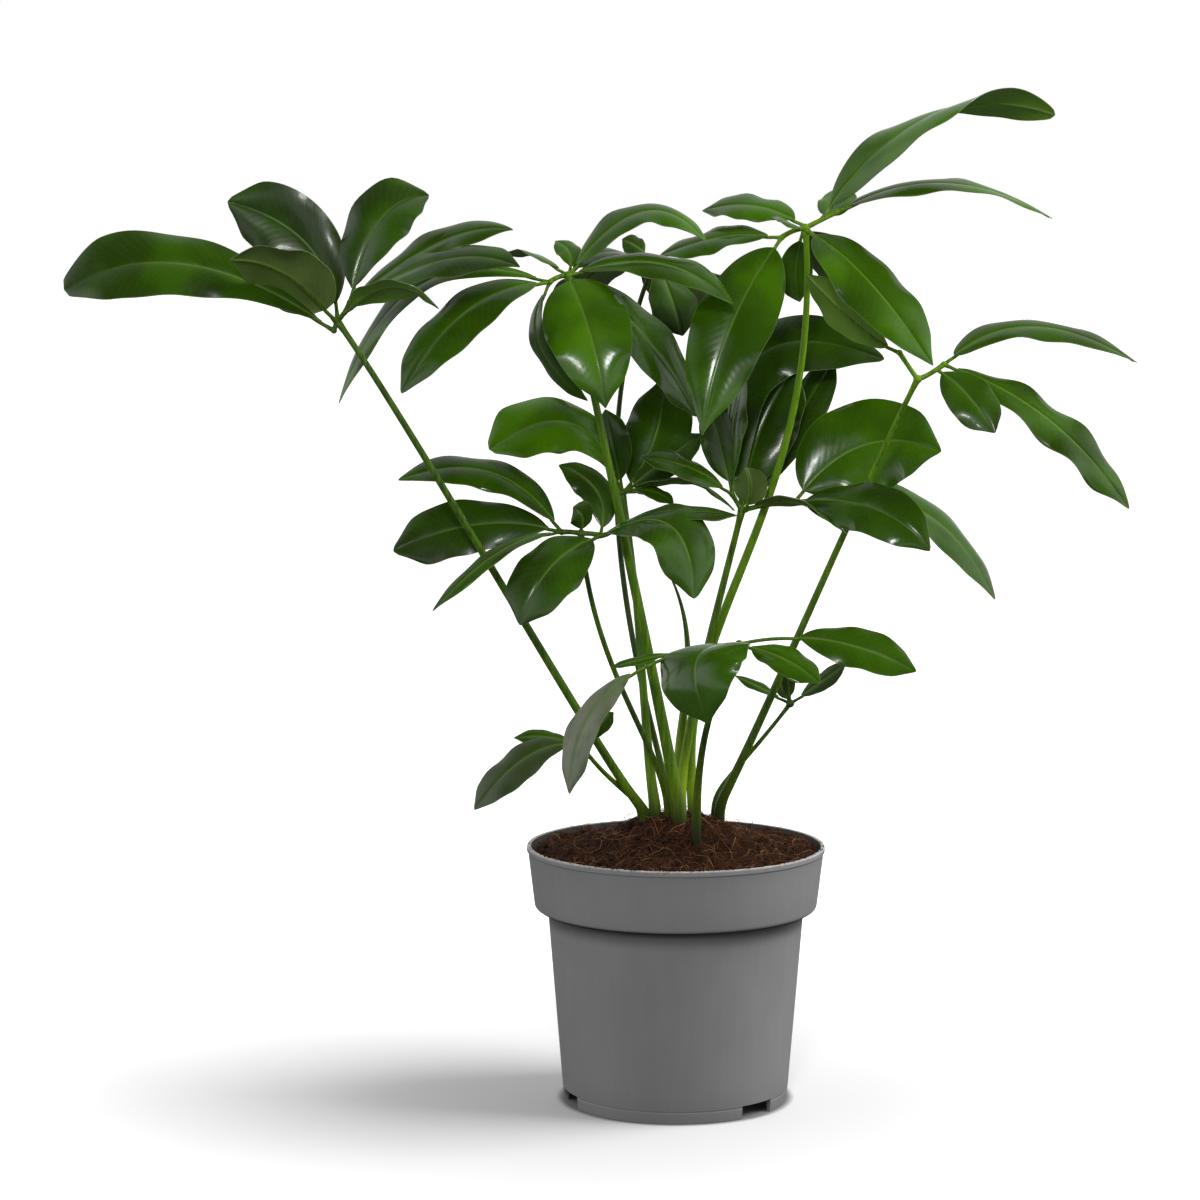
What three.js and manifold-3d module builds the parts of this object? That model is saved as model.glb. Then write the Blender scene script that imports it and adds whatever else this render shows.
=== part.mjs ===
// Potted philodendron ("Fun Bun" type): eleven fronds and one rolled new leaf, standing in the soil
// of a plastic nursery pot. Millimetres, +Z up. The origin is the middle of the pot's underside,
// +X is to the plant's right seen from its front, and the front looks along -Y.
//
// Each frond is one solid: a round petiole that ends in a hub, short arms on some, and glossy leaflets
// that arch out from the hub. A leaflet is a thin blade swept along a curve, with a V fold at its
// midrib, margins that turn down and a gentle wave.
import * as THREE from "three";
import { mergeVertices } from "three/addons/utils/BufferGeometryUtils.js";
import Module from "manifold-3d";

const wasm = await Module();
wasm.setup();

// Pot
const RIM_RADIUS = 95;
const POT_HEIGHT = 164;
const FOOT_RADIUS = 71.5;
const WALL = 2;
const BODY_TOP = { radius: 81.5, z: 121 };
const COLLAR_BOTTOM = { radius: 90.4, z: 126.5 };
const LIP_HEIGHT = 4;
const LIP_STEP = 0.8;
const FOOT_RING_HEIGHT = 8;
const PAD_RADIUS = 42;
const CHANNEL_OUTER_RADIUS = FOOT_RADIUS - 4;
const DRAIN = { count: 8, radius: 4.5, sides: 12 };
const NOTCH = { width: 26, height: 8.5, reach: 14, angles: [77, 199, 315] };
const EDGE_ROUND = 0.6;
const POT_SEGMENTS = 44;

// Soil
const GAP = 0.3;
const SOIL_EDGE_Z = POT_HEIGHT - 6;
const SOIL_EDGE_DROP = 3;
const MOUND = { height: 26, spread: 50 };
const SOIL_LUMP = 1.6;
const SOIL_RINGS = 6;
const FIRST_RING_INSET = 0.35;
const SOIL_SEGMENTS = 32;
const HOLE_SIDES = 10;

// Petioles and blades
const CROWN_Z = 188;
const ROOT_END_Z = 132;
const PETIOLE_SIDES = 6;
const PETIOLE_STEPS = 8;
const ARM_RADIUS = 1.5;
const HUB_RADIUS = 2.6;
const BLADE = { margin: 0.8, middle: 0.9, keel: 1.7, tip: 0.8 };
const STALK_HALF_WIDTH = 1.1;
const STALK_CREST = { height: 0.4, drop: 0.5 };
const TIP_HALF_WIDTH = 0.6;
const DRIP_TIP = { from: 0.82, pinch: 0.45 };
const FRAME_STEPS = 48;
const SMALL_LEAFLET_WIDTH = 31;
const LONGEST_STALK_SHARE = 0.6;
const LONG_STALK_SHARE = 0.3;
const ROW_SPACING = 20;
const ROWS = { fewest: 4, most: 7 };

const LEAFLET_SHAPE = {
  root: [0, 0, 0],
  twist: 0,
  fold: 13,
  cup: 0.3,
  wave: 0.09,
  waves: 1.5,
  belly: 0.54,
  taper: 1.3,
  stalk: 9,
};

// petiole: from the crown of the plant up to the hub. radii: at its foot and at the hub.
// arms: paths of the short curved branches, from the hub.
// leaflets: root, mid and tip are places on the midrib, measured from the hub. face is the way the
// upper side looks half-way along. width is the widest place, before the fold.
const FRONDS = {
  frond_far_left: {
    petiole: [[-19, -6, CROWN_Z], [-57, -26, 245], [-137, -60, 384], [-208, -70, 499]],
    radii: [2.9, 1.8],
    arms: [[[-2, 0, -6]], [[4, -2, 4], [8, -2, 11]]],
    leaflets: [
      {
        root: [-2, 0, -6], mid: [-88, -12, 34], tip: [-164, -10, 19],
        width: 54, face: [-1, -7, 6], fold: 18, belly: 0.75,
      },
      {
        root: [0, 1, 2], mid: [-20, 15, 47], tip: [-68, 22, 72],
        width: 48, face: [-3, -8, 3], fold: 22, belly: 0.6,
      },
      {
        root: [-1, -2, 0], mid: [-30, -15, 29], tip: [-62, -25, 37],
        width: 54, face: [2, 6, 5], belly: 0.42,
      },
      {
        root: [8, -2, 11], mid: [25, 10, 60], tip: [55, 24, 76],
        width: 48, face: [-3, -7, 4], fold: 22, belly: 0.62,
      },
      {
        root: [8, -2, 11], mid: [63, 2, 48], tip: [107, -10, 55],
        width: 34, face: [0, -4, 8], belly: 0.45,
      },
      {
        root: [8, -2, 11], mid: [66, -22, 37], tip: [112, -45, 33],
        width: 36, face: [0, -5, 8], belly: 0.48,
      },
      { root: [4, -2, 4], mid: [36, -28, 21], tip: [64, -38, 8], width: 30, face: [0, 4, 8] },
    ],
  },
  frond_left: {
    petiole: [[2, -15, CROWN_Z], [-17, -28, 285], [-42, -40, 405], [-68, -50, 526]],
    radii: [3.9, 1.8],
    arms: [[[-6, -1, -1], [-11, -3, -4]]],
    leaflets: [
      { root: [-11, -3, -4], mid: [-60, -28, -20], tip: [-100, -42, -70], width: 40, face: [-4, -7, 6] },
      { mid: [14, -33, -36], tip: [23, -42, -79], width: 54, face: [0, -8, 3], belly: 0.4, stalk: 5 },
      { mid: [45, 14, 39], tip: [85, 14, 21], width: 34, face: [0, -3, 8] },
      { mid: [55, -6, 8], tip: [101, -12, -17], width: 34, face: [1, -4, 8] },
      { mid: [-21, 18, 13], tip: [-40, 34, 12], width: 22, face: [0, 2, 9] },
      { mid: [1, 16, 14], tip: [-8, 30, 21], width: 16, face: [0, -6, 7] },
      { mid: [17, 24, 13], tip: [37, 46, 13], width: 26, face: [0, -4, 8] },
      { root: [-11, -3, -4], mid: [-90, 4, -5], tip: [-141, 2, -78], width: 24, face: [-2, -4, 8] },
      { root: [-11, -3, -4], mid: [-18, -10, -40], tip: [12, -14, -76], width: 24, face: [-8, -5, -2] },
      { mid: [45, 14, -34], tip: [80, 32, -88], width: 40, face: [3, -6, 5] },
    ],
  },
  frond_back: {
    petiole: [[-3, 22, CROWN_Z], [-24, 32, 275], [-38, 46, 400], [-13, 62, 534]],
    radii: [2, 1.5],
    arms: [],
    leaflets: [
      { mid: [-11, 2, 9], tip: [-21, 4, 14], width: 18, face: [0, -6, 7] },
      { mid: [8, -12, -16], tip: [18, -8, -48], width: 34, face: [3, -6, 4], twist: 60 },
      { mid: [10, 45, -6], tip: [25, 88, -40], width: 42, face: [0, 2, 9] },
      { mid: [-38, 36, -6], tip: [-64, 66, -42], width: 40, face: [0, 1, 9] },
      { mid: [40, 34, -14], tip: [66, 66, -46], width: 38, face: [0, 1, 9] },
    ],
  },
  frond_top: {
    petiole: [[12, 9, CROWN_Z], [24, 8, 294], [64, -3, 405], [79, -20, 555]],
    radii: [3.3, 1.8],
    arms: [[[-8, -2, -2], [-15, -4, -6]], [[10, 2, 5], [20, 4, 10]]],
    leaflets: [
      {
        root: [10, 2, 5], mid: [76, -4, 69], tip: [152, -14, 69],
        width: 54, face: [-6, -2, 8], twist: -115, belly: 0.64,
      },
      { root: [20, 4, 10], mid: [86, 10, 28], tip: [155, 14, 6], width: 34, face: [0, -2, 9], belly: 0.4 },
      { root: [10, 2, 5], mid: [19, 22, 14], tip: [29, 42, 26], width: 24, face: [0, -4, 8] },
      {
        root: [0, -1, -1], mid: [35, -32, -30], tip: [75, -52, -83],
        width: 46, face: [4, -8, 5], belly: 0.46,
      },
      {
        root: [-15, -4, -6], mid: [-47, -32, -60], tip: [-65, -46, -126],
        width: 52, face: [-2, -8, 3], belly: 0.42, taper: 1.5,
      },
      { root: [-15, -4, -6], mid: [-50, 6, -5], tip: [-90, 14, -17], width: 34, face: [0, -4, 8] },
      { root: [0, 2, 1], mid: [-30, 20, 14], tip: [-63, 34, 11], width: 34, face: [0, -4, 7] },
      { root: [-4, -1, -1], mid: [-10, -14, 3], tip: [-19, -24, 5], width: 20, face: [0, -5, 7] },
      { root: [-1, 0, -1], mid: [-5, 14, -26], tip: [-2, 18, -46], width: 22, face: [0, -8, 2] },
      { mid: [26, 44, -22], tip: [42, 84, -64], width: 40, face: [0, 2, 9] },
    ],
  },
  frond_right: {
    petiole: [[28, 11, CROWN_Z], [58, -4, 255], [103, -23, 362], [146, -58, 463]],
    radii: [2.8, 1.6],
    arms: [[[-5, 1, 7], [-11, 2, 16]], [[7, 0, 3], [16, 0, 9]]],
    leaflets: [
      { root: [16, 0, 9], mid: [69, 10, 32], tip: [135, 6, 10], width: 32, face: [0, -3, 8], belly: 0.42 },
      {
        root: [16, 0, 9], mid: [76, -20, -22], tip: [126, -30, -77],
        width: 34, face: [2, -5, 6], belly: 0.56, wave: 0.16, waves: 3,
      },
      { root: [12, 0, 6], mid: [28, -20, -8], tip: [44, -32, -31], width: 30, face: [0, -8, 4], stalk: 5 },
      { root: [-11, 2, 16], mid: [-36, 15, 34], tip: [-67, 25, 64], width: 34, face: [2, 5, 6] },
    ],
  },
  frond_centre: {
    petiole: [[3, -1, CROWN_Z], [10, -1, 245], [27, 0, 320], [41, -4, 378]],
    radii: [3.1, 1.9],
    arms: [[[16, -6, 4], [33, -8, 6]], [[-3, 1, 5], [-6, 1, 10]]],
    leaflets: [
      { root: [0, 3, 3], mid: [9, 28, 94], tip: [92, 36, 94], width: 48, face: [-2, -7, 5], belly: 0.6 },
      { root: [0, 3, 2], mid: [13, 22, 50], tip: [36, 26, 90], width: 48, face: [-3, -8, 2] },
      { root: [0, 3, 2], mid: [38, 32, 58], tip: [61, 48, 98], width: 30, face: [-3, -7, 3] },
      { root: [-6, 1, 10], mid: [-6, 2, 50], tip: [1, 0, 90], width: 26, face: [-8, -4, 1] },
      { root: [2, -2, 1], mid: [5, -10, 15], tip: [2, -13, 28], width: 22, face: [0, 8, 2], stalk: 4 },
      { root: [-6, 1, 10], mid: [-14, 5, 42], tip: [-20, 6, 66], width: 26, face: [-3, -8, 1] },
      { root: [-6, 1, 10], mid: [-33, -13, 28], tip: [-64, -20, 35], width: 28, face: [0, -5, 8] },
      { root: [2, -2, 0], mid: [33, -25, 8], tip: [64, -40, -12], width: 28, face: [0, 3, 8] },
      { root: [33, -8, 6], mid: [76, 0, 41], tip: [126, 6, 37], width: 64, face: [-1, -8, 3], belly: 0.5 },
      { root: [33, -8, 6], mid: [78, -53, 6], tip: [112, -70, -19], width: 38, face: [1, -8, 4] },
      { root: [33, -8, 6], mid: [109, 2, 2], tip: [160, -4, -56], width: 38, face: [2, -4, 7] },
    ],
  },
  frond_inner: {
    petiole: [[-13, 1, CROWN_Z], [-19, 2, 240], [-25, 5, 315], [-34, 10, 388]],
    radii: [3.1, 1.7],
    arms: [],
    leaflets: [
      { mid: [-32, -15, 45], tip: [-84, -20, 29], width: 50, face: [-1, -6, 7], belly: 0.68 },
      { mid: [-5, -4, 25], tip: [-11, -2, 53], width: 24, face: [-2, -8, 0] },
      { mid: [21, 15, 35], tip: [25, 25, 71], width: 44, face: [-2, -8, 1] },
      { mid: [26, 5, 20], tip: [51, 8, 37], width: 28, face: [0, -5, 7] },
      { mid: [39, -12, 9], tip: [71, -20, -10], width: 28, face: [0, 2, 9] },
      { mid: [18, -10, 2], tip: [32, -16, -6], width: 14, face: [0, -4, 8] },
    ],
  },
  frond_low_left: {
    petiole: [[-5, -8, CROWN_Z], [-20, -22, 235], [-44, -34, 292], [-60, -45, 367]],
    radii: [1.9, 1.5],
    arms: [[[-6, -1, 1], [-12, -1, 1]], [[6, -1, 0], [12, -2, -1]]],
    leaflets: [
      { root: [-12, -1, 1], mid: [-56, 16, 37], tip: [-114, 18, 32], width: 34, face: [-1, -4, 8] },
      {
        root: [-12, -1, 1], mid: [-63, 10, 5], tip: [-117, 12, -12],
        width: 42, face: [-1, -7, 5], belly: 0.62,
      },
      { root: [-12, -1, 1], mid: [-49, -28, -8], tip: [-90, -45, -43], width: 15, face: [-2, -4, 8] },
      { root: [12, -2, -1], mid: [-18, -34, -17], tip: [-37, -44, -52], width: 44, face: [-2, -7, 5] },
      {
        root: [12, -2, -1], mid: [54, -30, 8], tip: [69, -42, -36],
        width: 46, face: [2, -5, 6], belly: 0.58, stalk: 4,
      },
      { root: [12, -2, -1], mid: [10, 12, 25], tip: [-14, 20, 41], width: 24, face: [3, -7, 3], stalk: 6 },
      { mid: [1, -7, 11], tip: [-5, -10, 17], width: 18, face: [0, -6, 7], stalk: 4 },
      { root: [12, -2, -1], mid: [52, -14, 14], tip: [96, -8, 12], width: 24, face: [0, -3, 8] },
    ],
  },
  frond_front: {
    petiole: [[12, -38, CROWN_Z], [14, -52, 225], [21, -66, 262], [37, -70, 301]],
    radii: [2.4, 1.6],
    arms: [],
    leaflets: [
      { mid: [-27, -34, -5], tip: [-20, -42, -43], width: 62, face: [-5, -5, 8], fold: 10, belly: 0.4, taper: 1.1 },
      { mid: [53, -10, 4], tip: [107, -20, -14], width: 32, face: [0, -6, 6], stalk: 38 },
      { mid: [26, -18, -6], tip: [48, -30, -20], width: 26, face: [1, -5, 7] },
      { mid: [-45, -8, -5], tip: [-79, -10, -13], width: 9, face: [0, -4, 8], stalk: 45 },
      { mid: [-77, -22, -23], tip: [-104, -35, -87], width: 26, face: [-6, -5, 3], stalk: 72 },
    ],
  },
  frond_small_right: {
    petiole: [[25, 24, CROWN_Z], [33, 25, 201], [51, 26, 222], [74, 26, 251]],
    radii: [1.6, 1.2],
    arms: [],
    leaflets: [
      { mid: [21, -5, 16], tip: [35, -8, 27], width: 14, face: [-3, -6, 5] },
      { mid: [-4, 4, 7], tip: [-7, 8, 14], width: 9, face: [-3, -6, 2], stalk: 4 },
      { mid: [-17, 5, 9], tip: [-35, 8, 17], width: 10, face: [0, -4, 8] },
      { mid: [-1, -3, 10], tip: [-2, -5, 21], width: 9, face: [0, -8, 1], stalk: 5 },
    ],
  },
  frond_small_left: {
    petiole: [[-22, 6, CROWN_Z], [-38, -13, 205], [-49, -34, 219], [-60, -50, 235]],
    radii: [1.7, 1.3],
    arms: [],
    leaflets: [
      { mid: [-32, -10, -4], tip: [-66, -18, -37], width: 30, face: [-2, -5, 7] },
      { mid: [-20, 5, 5], tip: [-42, 8, 4], width: 13, face: [0, -5, 7] },
      { mid: [8, 5, 9], tip: [20, 8, 20], width: 13, face: [-2, -7, 3], stalk: 5 },
    ],
  },
  new_leaf: {
    petiole: [[3, 14, CROWN_Z], [4, 16, 235], [8, 18, 287], [-7, 22, 341]],
    radii: [3.4, 0.9],
    arms: [],
    leaflets: [],
  },
};

const FINISHES = {
  pot: { color: 0x77787a, roughness: 0.5 },
  soil: { color: 0x3b2314, roughness: 0.95 },
  leaf: { color: 0x2b5a10, roughness: 0.35 },
  new_leaf: { color: 0x6f9a2a, roughness: 0.35 },
};

const vector = (p) => new THREE.Vector3(p[0], p[1], p[2]);
const radians = THREE.MathUtils.degToRad;

// ---------------------------------------------------------------- curves and frames

// The quadratic or cubic curve that passes through all of its two to four points.
function curveThrough(points) {
  const [a, b, c, d] = points;
  const mix = (...terms) => {
    const sum = new THREE.Vector3();
    terms.forEach(([share, point]) => sum.addScaledVector(point, share));
    return sum;
  };
  if (points.length === 2) return new THREE.LineCurve3(a, b);
  if (points.length === 3) {
    return new THREE.QuadraticBezierCurve3(a, mix([-0.5, a], [2, b], [-0.5, c]), c);
  }
  const first = mix([-5 / 6, a], [3, b], [-1.5, c], [1 / 3, d]);
  const second = mix([1 / 3, a], [-1.5, b], [3, c], [-5 / 6, d]);
  return new THREE.CubicBezierCurve3(a, first, second, d);
}

// Frames along a curve: along, up and side. up starts half-way as near to `face` as it can be and is
// carried both ways without spinning, then turned by `twist` degrees from one end to the other.
function carriedFrames(curve, face, twist) {
  const frames = [];
  for (let i = 0; i <= FRAME_STEPS; i++) {
    const s = i / FRAME_STEPS;
    frames.push({ at: curve.getPointAt(s), along: curve.getTangentAt(s).normalize() });
  }
  const square = (v, along) => v.clone().addScaledVector(along, -v.dot(along)).normalize();
  const middle = FRAME_STEPS / 2;
  frames[middle].up = square(face, frames[middle].along);
  for (let i = middle + 1; i <= FRAME_STEPS; i++) {
    frames[i].up = square(frames[i - 1].up, frames[i].along);
  }
  for (let i = middle - 1; i >= 0; i--) {
    frames[i].up = square(frames[i + 1].up, frames[i].along);
  }
  frames.forEach((frame, i) => {
    frame.up.applyAxisAngle(frame.along, radians(twist * (i / FRAME_STEPS - 0.5)));
    frame.side = frame.along.clone().cross(frame.up);
  });
  return frames;
}

function frameAt(frames, s) {
  const place = THREE.MathUtils.clamp(s, 0, 1) * FRAME_STEPS;
  const i = Math.min(Math.floor(place), FRAME_STEPS - 1);
  const share = place - i;
  const blend = (key) => frames[i][key].clone().lerp(frames[i + 1][key], share);
  return { at: blend("at"), up: blend("up").normalize(), side: blend("side").normalize() };
}

// ---------------------------------------------------------------- solids

function geometryOf(vertices, triangles) {
  const geometry = new THREE.BufferGeometry();
  const positions = vertices.flatMap((v) => v.toArray());
  geometry.setAttribute("position", new THREE.Float32BufferAttribute(positions, 3));
  geometry.setIndex(triangles.flat());
  return geometry;
}

// A closed loft through rings of points that all turn the same way, with a fan over each end.
function loft(rings) {
  const sides = rings[0].length;
  const vertices = rings.flat();
  const triangles = [];
  for (let i = 0; i + 1 < rings.length; i++) {
    for (let j = 0; j < sides; j++) {
      const k = (j + 1) % sides;
      const [a, b] = [i * sides + j, i * sides + k];
      triangles.push([a, b, b + sides], [a, b + sides, a + sides]);
    }
  }
  const last = (rings.length - 1) * sides;
  for (let j = 1; j + 1 < sides; j++) {
    triangles.push([0, j + 1, j], [last, last + j, last + j + 1]);
  }
  return geometryOf(vertices, triangles);
}

function solidOf(geometry) {
  const plain = geometry.clone();
  plain.deleteAttribute("normal");
  plain.deleteAttribute("uv");
  const merged = mergeVertices(plain, 1e-4);
  return new wasm.Manifold(
    new wasm.Mesh({
      numProp: 3,
      vertProperties: new Float32Array(merged.attributes.position.array),
      triVerts: new Uint32Array(merged.index.array),
    }),
  );
}

function geometryOfSolid(solid) {
  const mesh = solid.getMesh();
  const positions = [];
  for (let i = 0; i < mesh.numVert; i++) {
    positions.push(...mesh.vertProperties.slice(i * mesh.numProp, i * mesh.numProp + 3));
  }
  const geometry = new THREE.BufferGeometry();
  geometry.setAttribute("position", new THREE.Float32BufferAttribute(positions, 3));
  geometry.setIndex(Array.from(mesh.triVerts));
  return geometry;
}

// A round rod along a curve, tapering evenly, with an optional straight foot below its start.
function rod(curve, startRadius, endRadius, steps, sides, footPoint = null) {
  const frames = carriedFrames(curve, new THREE.Vector3(0.2, -1, 0.1), 0);
  const ring = (frame, radius) =>
    Array.from({ length: sides }, (_, j) => {
      const angle = (2 * Math.PI * j) / sides;
      return frame.at
        .clone()
        .addScaledVector(frame.side, radius * Math.cos(angle))
        .addScaledVector(frame.up, radius * Math.sin(angle));
    });
  const rings = [];
  if (footPoint) {
    const level = {
      at: footPoint,
      side: new THREE.Vector3(0, 0, 1).cross(new THREE.Vector3(0.2, -1, 0).normalize()),
      up: new THREE.Vector3(0.2, -1, 0).normalize(),
    };
    rings.push(ring(level, startRadius));
    rings.push(ring({ ...level, at: curve.getPointAt(0) }, startRadius));
  }
  for (let i = footPoint ? 1 : 0; i <= steps; i++) {
    const s = i / steps;
    rings.push(ring(frameAt(frames, s), THREE.MathUtils.lerp(startRadius, endRadius, s)));
  }
  // side x up points back along the rod, so each ring runs the other way round for faces to look out
  return loft(rings.map((points) => points.reverse()));
}

// ---------------------------------------------------------------- leaflets

// Half the blade's width at u, from 0 at its foot to 1 at its tip.
function halfWidth(leaf, u) {
  const { belly, taper, width } = leaf;
  const inside = THREE.MathUtils.clamp(u, 0, 1);
  const rise = Math.pow(inside / belly, taper * belly);
  const fall = Math.pow((1 - inside) / (1 - belly), taper * (1 - belly));
  const drip = 1 - DRIP_TIP.pinch * THREE.MathUtils.smoothstep(inside, DRIP_TIP.from, 1);
  const least = THREE.MathUtils.lerp(STALK_HALF_WIDTH, TIP_HALF_WIDTH, inside);
  return Math.max((width / 2) * rise * fall * drip, least);
}

// The blade's upper surface as a function of u along it and v across it, from -1 to 1, with the way up.
function bladeSurface(leaf, frames, stalkShare) {
  const fold = radians(leaf.fold);
  return (u, v) => {
    const frame = frameAt(frames, stalkShare + (1 - stalkShare) * u);
    const half = halfWidth(leaf, u);
    const across = v * half * Math.cos(fold);
    const phase = leaf.waves * u + leaf.phase + (v < 0 ? 0 : 0.9);
    const ripple = leaf.wave * half * Math.sin(2 * Math.PI * phase) * v * v;
    const height = Math.abs(v) * half * Math.sin(fold) - leaf.cup * half * v * v + ripple;
    const at = frame.at.clone().addScaledVector(frame.side, across).addScaledVector(frame.up, height);
    return { at, up: frame.up };
  };
}

// The stalk's upper surface across one frame, highest along its middle.
function stalkRow(frame, across) {
  return across.map((v) => {
    const height = STALK_CREST.height - STALK_CREST.drop * Math.abs(v);
    const at = frame.at
      .clone()
      .addScaledVector(frame.side, v * STALK_HALF_WIDTH)
      .addScaledVector(frame.up, height);
    return { at, up: frame.up };
  });
}

// One closed leaflet: stalk and blade together, triangulated alike on both faces.
function leafletSolid(leaf, hub) {
  const path = curveThrough([leaf.root, leaf.mid, leaf.tip].map((p) => vector(p).add(hub)));
  const frames = carriedFrames(path, vector(leaf.face), leaf.twist);
  const length = path.getLength();
  const stalkShare = Math.min(leaf.stalk / length, LONGEST_STALK_SHARE);
  const surface = bladeSurface(leaf, frames, stalkShare);
  const small = leaf.width < SMALL_LEAFLET_WIDTH;
  const across = small ? [-1, 0, 1] : [-1, -0.5, 0, 0.5, 1];
  const wanted = Math.round((length * (1 - stalkShare)) / ROW_SPACING);
  const steps = THREE.MathUtils.clamp(wanted, ROWS.fewest, ROWS.most);
  const rows = [];
  for (const s of stalkShare > LONG_STALK_SHARE ? [0, 0.5] : [0]) {
    rows.push(stalkRow(frameAt(frames, s * stalkShare), across));
  }
  for (let i = 0; i <= steps; i++) {
    const even = i / steps;
    rows.push(across.map((v) => surface(even, v)));
  }
  const columns = across.length;
  const vertices = [];
  const index = [];
  rows.forEach((row, i) => {
    const top = [];
    const under = [];
    const nearTip = i === rows.length - 1 ? BLADE.tip : 1;
    row.forEach((point, j) => {
      const v = Math.abs(across[j]);
      const depth = nearTip * (v === 0 ? BLADE.keel : v === 1 ? BLADE.margin : BLADE.middle);
      top.push(vertices.push(point.at) - 1);
      under.push(vertices.push(point.at.clone().addScaledVector(point.up, -depth)) - 1);
    });
    index.push({ top, under });
  });
  const triangles = [];
  for (let i = 0; i + 1 < rows.length; i++) {
    const [a, b] = [index[i], index[i + 1]];
    for (let j = 0; j + 1 < columns; j++) {
      const k = j + 1;
      triangles.push([a.top[j], a.top[k], b.top[k]], [a.top[j], b.top[k], b.top[j]]);
      triangles.push([a.under[j], b.under[k], a.under[k]], [a.under[j], b.under[j], b.under[k]]);
    }
    const end = columns - 1;
    triangles.push([a.under[0], a.top[0], b.top[0]], [a.under[0], b.top[0], b.under[0]]);
    triangles.push([a.top[end], a.under[end], b.under[end]], [a.top[end], b.under[end], b.top[end]]);
  }
  const cap = ({ top, under }, turn) => {
    for (let j = 0; j + 1 < columns; j++) {
      const faces = [[top[j], under[j], under[j + 1]], [top[j], under[j + 1], top[j + 1]]];
      faces.forEach((face) => triangles.push(turn ? face.reverse() : face));
    }
  };
  cap(index[0], false);
  cap(index[rows.length - 1], true);
  return solidOf(geometryOf(vertices, triangles));
}

// ---------------------------------------------------------------- fronds

function petioleCurve(frond) {
  return curveThrough(frond.petiole.map(vector));
}

function frondSolid(frond) {
  const hub = vector(frond.petiole[frond.petiole.length - 1]);
  const foot = vector(frond.petiole[0]).setZ(ROOT_END_Z);
  const [footRadius, hubRadius] = frond.radii;
  let solid = solidOf(rod(petioleCurve(frond), footRadius, hubRadius, PETIOLE_STEPS, PETIOLE_SIDES, foot));
  if (frond.leaflets.length) {
    const knuckle = new THREE.IcosahedronGeometry(HUB_RADIUS, 0).translate(hub.x, hub.y, hub.z);
    solid = solid.add(solidOf(knuckle));
  }
  for (const arm of frond.arms) {
    const path = curveThrough([new THREE.Vector3(), ...arm.map(vector)].map((p) => p.add(hub)));
    solid = solid.add(solidOf(rod(path, ARM_RADIUS, ARM_RADIUS, 2, 6)));
  }
  frond.leaflets.forEach((given, i) => {
    const leaf = { ...LEAFLET_SHAPE, phase: (i * 0.37) % 1, ...given };
    solid = solid.add(leafletSolid(leaf, hub));
  });
  return largestBody(solid);
}

// The biggest of a solid's bodies: crossing leaflets can leave a loose scrap.
function largestBody(solid) {
  return solid.decompose().reduce((best, body) => (body.volume() > best.volume() ? body : best));
}

// ---------------------------------------------------------------- pot and soil

// The solid turned from a closed outline of [radius, height] points about the upright axis.
function turned(outline, segments) {
  const points = outline.map(([radius, z]) => new THREE.Vector2(radius, z));
  if (outline[0][0] > 0) points.push(points[0].clone());
  return solidOf(new THREE.LatheGeometry(points, segments).rotateX(Math.PI / 2));
}

function potSolid() {
  const inner = (radius) => radius - WALL;
  const padTop = WALL;
  const channelTop = FOOT_RING_HEIGHT + WALL;
  const underside = [
    [0, 0],
    [PAD_RADIUS, 0],
    [PAD_RADIUS + WALL, FOOT_RING_HEIGHT],
    [CHANNEL_OUTER_RADIUS, FOOT_RING_HEIGHT],
    [FOOT_RADIUS - WALL, 0],
  ];
  const outside = [
    [FOOT_RADIUS, 0],
    [BODY_TOP.radius, BODY_TOP.z],
    [COLLAR_BOTTOM.radius - 5 * WALL / 2, BODY_TOP.z + 2 * EDGE_ROUND],
    [COLLAR_BOTTOM.radius - WALL / 2, COLLAR_BOTTOM.z - WALL],
    [COLLAR_BOTTOM.radius, COLLAR_BOTTOM.z],
    [RIM_RADIUS - LIP_STEP, POT_HEIGHT - LIP_HEIGHT],
    [RIM_RADIUS, POT_HEIGHT - LIP_HEIGHT + EDGE_ROUND],
    [RIM_RADIUS, POT_HEIGHT - EDGE_ROUND],
    [RIM_RADIUS - EDGE_ROUND, POT_HEIGHT],
  ];
  const inside = [
    [inner(RIM_RADIUS) - EDGE_ROUND, POT_HEIGHT],
    [inner(COLLAR_BOTTOM.radius), COLLAR_BOTTOM.z + WALL],
    [inner(BODY_TOP.radius), BODY_TOP.z + WALL],
    [inner(FOOT_RADIUS) + EDGE_ROUND, channelTop],
    [PAD_RADIUS - WALL / 2, channelTop],
    [PAD_RADIUS - WALL, padTop],
    [0, padTop],
  ];
  const outline = [...underside, ...outside, ...inside];
  let pot = turned(outline, POT_SEGMENTS);
  const drainRing = (PAD_RADIUS + CHANNEL_OUTER_RADIUS) / 2;
  for (let i = 0; i < DRAIN.count; i++) {
    const angle = (2 * Math.PI * (i + 0.5)) / DRAIN.count;
    const hole = new THREE.CylinderGeometry(DRAIN.radius, DRAIN.radius, 3 * WALL, DRAIN.sides)
      .rotateX(Math.PI / 2)
      .translate(drainRing * Math.cos(angle), drainRing * Math.sin(angle), channelTop - WALL / 2);
    pot = pot.subtract(solidOf(hole));
  }
  for (const degrees of NOTCH.angles) {
    const cutter = new THREE.BoxGeometry(NOTCH.reach, NOTCH.width, 2 * NOTCH.height)
      .translate(FOOT_RADIUS, 0, 0)
      .rotateZ(radians(degrees));
    pot = pot.subtract(solidOf(cutter));
  }
  return pot;
}

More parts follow.
